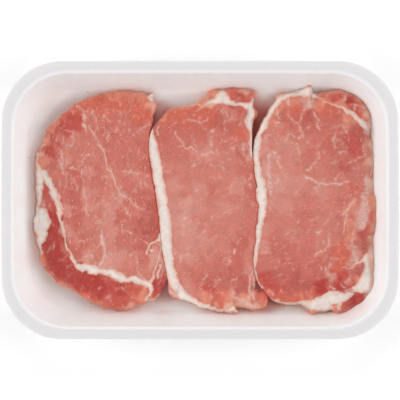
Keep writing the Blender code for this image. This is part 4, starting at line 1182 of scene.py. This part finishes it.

# %% [markdown]
# ## Raw pork
#
# The cut face of raw pork is a wet, slightly cloudy pink. Light goes a little way in, so its colour
# is soft and its free edges look lighter and more orange; the shader's subsurface gives some of this,
# and the rest is painted light, a lighter tone painted into the lean at the free edges and low on the
# free sides. A thin film of juice gives it a low satin shine. Under that, bundles of muscle fibre make
# a fine mottle with a pale net between them, and small wisps of fat run across, mostly in one
# direction. The drawn features come as numbers kept at each point of the mesh; noise eats at their
# edges before they are turned into masks, so that fat and lean meet raggedly. Fibre bundles are about
# a millimetre and a half across.


# %% The meat's noises
STRETCH = 2.8  # how much longer the fibres' mottle is along them than across
BEND, BEND_SIZE = 5.0, 7.0  # how far and over what length the fibres bend, in mm
NOISES = {  # where each is looked up, its size in mm and its detail
    "blotch": ("place", 5.0, 2.0), "wisp_share": ("place", 4.5, 2.0),
    "fleck_share": ("place", 2.3, 2.0), "web": ("place", 1.8, 3.0),
    "silver": ("place", 2.2, 3.0), "vein": ("place", 1.3, 2.0), "fat": ("place", 2.4, 4.0),
    "grain": ("bent", 0.8, 3.0), "wisp": ("bent", 3.2, 2.0)}
SOFT = {"interpolation_type": "SMOOTHSTEP"}


def meat_noises(node, run):
    """The noises by name, with the two places they are looked up at: the object's own, and the same
    place turned to the run of the fibres, stretched along it and bent."""
    place = node("TexCoord", {}, "Object")
    push = node("TexNoise", {"Vector": place, "Scale": 1.0 / (BEND_SIZE * MM), "Detail": 1.0}, "Color")
    turned = node("Mapping", {"Vector": place, "Rotation": (0.0, 0.0, run), "Scale": (STRETCH, 1.0, 1.0)},
                  vector_type="TEXTURE")
    bent = node("VectorMath", (push, (BEND * MM,) * 3, turned), operation="MULTIPLY_ADD")
    found = {"place": place, "bent": bent}
    for name, (where, size, detail) in NOISES.items():
        looked_up = {"Vector": found[where], "Scale": 1.0 / (size * MM), "Detail": detail}
        found[name] = node("TexNoise", looked_up)
    return found


def thread(node, noise, width, strength):
    """Thin lines where a noise crosses its middle value."""
    away = node("Math", (noise, 0.5), operation="SUBTRACT")
    away = node("Math", (away,), operation="ABSOLUTE")
    return node("MapRange", (away, width, 0.0, 0.0, strength), **SOFT)


print("noises in the meat:", ", ".join(NOISES))

# %% Lean meat
NET_SIZE, FLECK_SIZE = 1.5, 1.15  # of the pale net between fibre bundles, and of flecks, in mm


def lean_meat(node, noises, lean, strength):
    """Mottled lean with its net, wisps and flecks, and how pale these make each point."""
    cloud = node("MapRange", (noises["blotch"], 0.3, 0.7, 0.95, 1.06))
    mottle = node("MapRange", (noises["grain"], 0.25, 0.75, 1.0 - 0.08 * strength, 1.0 + 0.09 * strength))
    shade = node("Math", (cloud, mottle), operation="MULTIPLY")
    meat = node("VectorMath", {0: lean, 3: shade}, operation="SCALE")
    net = node("TexVoronoi", {"Vector": noises["bent"], "Scale": 1.0 / (NET_SIZE * MM)}, "Distance",
               feature="DISTANCE_TO_EDGE")
    net = node("MapRange", (net, 0.12, 0.0, 0.0, 0.07), **SOFT)
    wisps = thread(node, noises["wisp"], 0.035, 0.45 * strength)
    share = node("MapRange", (noises["wisp_share"], 0.48, 0.62, 0.0, 1.0), **SOFT)
    wisps = node("Math", (wisps, share), operation="MULTIPLY")
    flecks = node("TexVoronoi", {"Vector": noises["bent"], "Scale": 1.0 / (FLECK_SIZE * MM)}, "Distance")
    flecks = node("MapRange", (flecks, 0.34, 0.12, 0.0, 1.0), **SOFT)
    share = node("MapRange", (noises["fleck_share"], 0.50, 0.60, 0.0, 0.55 * strength), **SOFT)
    flecks = node("Math", (flecks, share), operation="MULTIPLY")
    pale = node("Math", (wisps, flecks), operation="MAXIMUM")
    pale = node("Math", (pale, net), operation="MAXIMUM")
    fewer = node("MapRange", (lean, 0.14, 0.24, 0.3, 1.0), **SOFT)  # of all of them on dark meat
    pale = node("Math", (pale, fewer), operation="MULTIPLY")
    return node("Mix", {0: pale, 6: meat, 7: paint("#e8b9aa")}, 2, data_type="RGBA"), pale


print("the net and the flecks are", NET_SIZE, "and", FLECK_SIZE, "mm wide")

# %% Silver skin, marbling and fat
FRAY = {"silver": 1.8, "vein": 0.55, "fat": 0.3}  # how far noise eats at their edges, in mm


def with_silver(node, noises, edge, meat):
    """The meat under silver skin, a thin film that is broken up into a web."""
    web = thread(node, noises["web"], 0.07, 0.65)
    web = node("Math", (web, 0.25), operation="ADD")
    film = node("MapRange", (edge, -0.5, 0.9, 0.0, 1.0), **SOFT)
    film = node("Math", (film, web), operation="MULTIPLY")
    return node("Mix", {0: film, 6: meat, 7: paint("#e6c6bf")}, 2, data_type="RGBA")


def with_marbling(node, depth, edge, meat):
    """The meat with thin lines of fat, each with a faint halo, and how much they cover."""
    line = node("MapRange", (edge, -0.3, 0.4, 0.0, 0.74), **SOFT)
    halo = node("MapRange", (depth, -1.3, 0.2, 0.0, 0.14), **SOFT)
    vein = node("Math", (line, halo), operation="MAXIMUM")
    return node("Mix", {0: vein, 6: meat, 7: paint("#e9c9bd")}, 2, data_type="RGBA"), vein


def with_fat(node, noises, edge, lean, meat):
    """The meat under fat, which is whiter where it is deep and lets a little of the lean through."""
    deep = node("MapRange", (edge, 0.0, 1.8, 0.0, 1.0), **SOFT)
    fat = node("Mix", {0: deep, 6: paint("#e6c3b2"), 7: paint("#f3ebe4")}, 2, data_type="RGBA")
    fat = node("Mix", {0: 0.12, 6: fat, 7: lean}, 2, data_type="RGBA")
    shade = node("MapRange", (noises["blotch"], 0.3, 0.7, 0.95, 1.03))
    fat = node("VectorMath", {0: fat, 3: shade}, operation="SCALE")
    cover = node("MapRange", (edge, -0.35, 0.3, 0.0, 1.0), **SOFT)
    return node("Mix", {0: cover, 6: meat, 7: fat}, 2, data_type="RGBA")


print("edges frayed by up to:", FRAY)

# %% The meat
def pork_finish(name, run, strength):
    """run is the way the wisps of fat run, in radians from +X, and strength how clearly they show."""
    material, tree, shader = new_finish(name, {
        "Roughness": 0.45, "IOR": 1.38, "Subsurface Weight": 0.4,
        "Subsurface Radius": (1.0, 0.35, 0.22), "Subsurface Scale": 2.2 * MM,
        "Coat Weight": 0.06, "Coat Roughness": 0.2})
    node = partial(add, tree)
    noises = meat_noises(node, run)
    lean = node("Attribute", {}, "Color", attribute_name="lean")
    depth, edge = {}, {}
    for key, amount in FRAY.items():
        depth[key] = node("Attribute", {}, "Fac", attribute_name=key)
        bite = node("MapRange", (noises[key], 0.0, 1.0, -amount, amount))
        edge[key] = node("Math", (depth[key], bite), operation="ADD")
    meat, pale = lean_meat(node, noises, lean, strength)
    meat = with_silver(node, noises, edge["silver"], meat)
    meat, vein = with_marbling(node, depth["vein"], edge["vein"], meat)
    meat = with_fat(node, noises, edge["fat"], lean, meat)
    height = node("Math", (noises["grain"], pale), operation="ADD")
    height = node("Math", (vein, 0.8, height), operation="MULTIPLY_ADD")
    bump = node("Bump", {"Strength": 0.4, "Distance": 0.12 * MM, "Height": height})
    tree.links.new(meat, shader.inputs["Base Color"])
    tree.links.new(bump, shader.inputs["Normal"])
    return material


WISPS = {"left": (1.3, 1.4), "middle": (0.6, 1.0), "right": (0.35, 0.9)}  # their run and strength
pork = {name: pork_finish(f"raw_pork_loin_{name}", *wisps) for name, wisps in WISPS.items()}
print("nodes in one pork material:", len(pork["left"].node_tree.nodes))

# %% The three chops
TONE_WARP = ((1.1, 7.0),)  # height and size of the ripples that bend the spots of tone, in mm
EDGE_LIGHT_MOST, SIDE_LIGHT_MOST, SEAM_SHADE_MOST = 0.65, 0.7, 0.8  # the most that the painted edge light, the painted side light and the painted seam shade cover
for name, chop in CHOPS.items():
    rings, edge_light_share, side_light_share, seam_shade_share = chop_rings(name)
    x, y, seed = rings[..., 0], rings[..., 1], chop["seed"]
    lean = lean_colour(chop["tones"], x + ripples(x, y, TONE_WARP, seed + 4),
                       y + ripples(x, y, TONE_WARP, seed + 5))
    # painted light at the free edges
    lean = mix(lean, TONES[chop["edge"]], EDGE_LIGHT_MOST * edge_light_share[..., None])
    # painted light: the low part of a free side is painted pale to lift its shade
    lean = mix(lean, TONES["film"], SIDE_LIGHT_MOST * side_light_share[..., None])
    # painted shade at the seams
    lean = mix(lean, TONES["seam"], SEAM_SHADE_MOST * seam_shade_share[..., None])
    piece = ring_mesh(f"pork_chop_{name}", rings, pork[name],
                      values=drawn_depths(chop, x, y), colours={"lean": lean})
    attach(piece, "root")
    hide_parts(f"chop_{name}")

# %% [markdown]
# ## Floor, light and camera
#
# The pack stands on plain white paper under soft studio light. Four pairs of soft boxes stand round
# it, one low and one high on each side. The low ones at the short sides are the strongest, so the
# end walls are brighter than the flat rim, and the room fills in from everywhere. The camera looks
# straight down from 1.5 m through a long lens.

# %% The floor
FLOOR_HALF, FLOOR_DROP = 1.4, 0.0002  # half its width, and how far it lies under the tray, in metres
corners = [(side_x * FLOOR_HALF, side_y * FLOOR_HALF, -FLOOR_DROP)
           for side_x, side_y in ((-1, -1), (1, -1), (1, 1), (-1, 1))]
floor_mesh = bpy.data.meshes.new("floor")
floor_mesh.from_pydata(corners, [], [(0, 1, 2, 3)])
floor = bpy.data.objects.new("floor", floor_mesh)
bpy.context.scene.collection.objects.link(floor)
paper = new_finish("white_paper", {
    "Base Color": paint("#fafafa"), "Roughness": 0.9,
    "Emission Color": (1.0, 1.0, 1.0, 1.0), "Emission Strength": 0.12})[0]
floor_mesh.materials.append(paper)
print("floor laid")

# %% The lights
AWAY = 1.7  # from the tray's middle to each soft box, in metres
BOX_SIZE = (1.0, 0.6)  # width and height of each soft box, in metres
LIGHTS = {  # bearing from +X, height above the table in degrees, power in watts
    "right_low": (0, 16, 8.0), "right_high": (0, 44, 7.0),
    "far_low": (90, 16, 4.8), "far_high": (90, 44, 4.5),
    "left_low": (180, 20, 11.0), "left_high": (180, 44, 4.5),
    "near_low": (270, 16, 0.8), "near_high": (270, 44, 5.6)}
for name, (bearing, rise, power) in LIGHTS.items():
    bearing, rise = math.radians(bearing), math.radians(rise)
    light = bpy.data.lights.new(f"soft_box_{name}", "AREA")
    light.shape = "RECTANGLE"
    light.size, light.size_y = BOX_SIZE
    light.energy = power
    lamp = bpy.data.objects.new(f"soft_box_{name}", light)
    lamp.location = (AWAY * math.cos(rise) * math.cos(bearing),
                     AWAY * math.cos(rise) * math.sin(bearing), AWAY * math.sin(rise))
    lamp.rotation_euler = (-lamp.location).to_track_quat("-Z", "Y").to_euler()
    lamp.visible_camera = False
    bpy.context.scene.collection.objects.link(lamp)
print("lights:", sorted(LIGHTS))

# %% The room
ROOM, ROOM_SEEN = 0.24, 0.92  # its brightness, as light and as seen by the camera
world = bpy.data.worlds.new("room")
bpy.context.scene.world = world
world.use_nodes = True
room = world.node_tree.nodes["Background"]
room.inputs["Color"].default_value = (1.0, 1.0, 1.0, 1.0)
seen = add(world.node_tree, "LightPath", {}, "Is Camera Ray")
seen = add(world.node_tree, "MapRange", {"Value": seen, "To Min": ROOM, "To Max": ROOM_SEEN})
world.node_tree.links.new(seen, room.inputs["Strength"])
bpy.context.scene.view_settings.view_transform = "Standard"
print("the room lights with", ROOM, "and looks", ROOM_SEEN, "bright")

# %% The camera
CAMERA_ABOVE_RIM = 1.5  # in metres
VIEW_WIDTH = 0.21074  # what the image spans at the rim's height, in metres
camera_data = bpy.data.cameras.new("camera")
camera_data.sensor_width = 36.0
camera_data.lens = camera_data.sensor_width * CAMERA_ABOVE_RIM / VIEW_WIDTH
camera = bpy.data.objects.new("camera", camera_data)
camera.location = (0.0, 0.0, TRAY_HEIGHT * MM + CAMERA_ABOVE_RIM)
bpy.context.scene.collection.objects.link(camera)
bpy.context.scene.camera = camera
print("lens:", round(camera_data.lens), "mm")
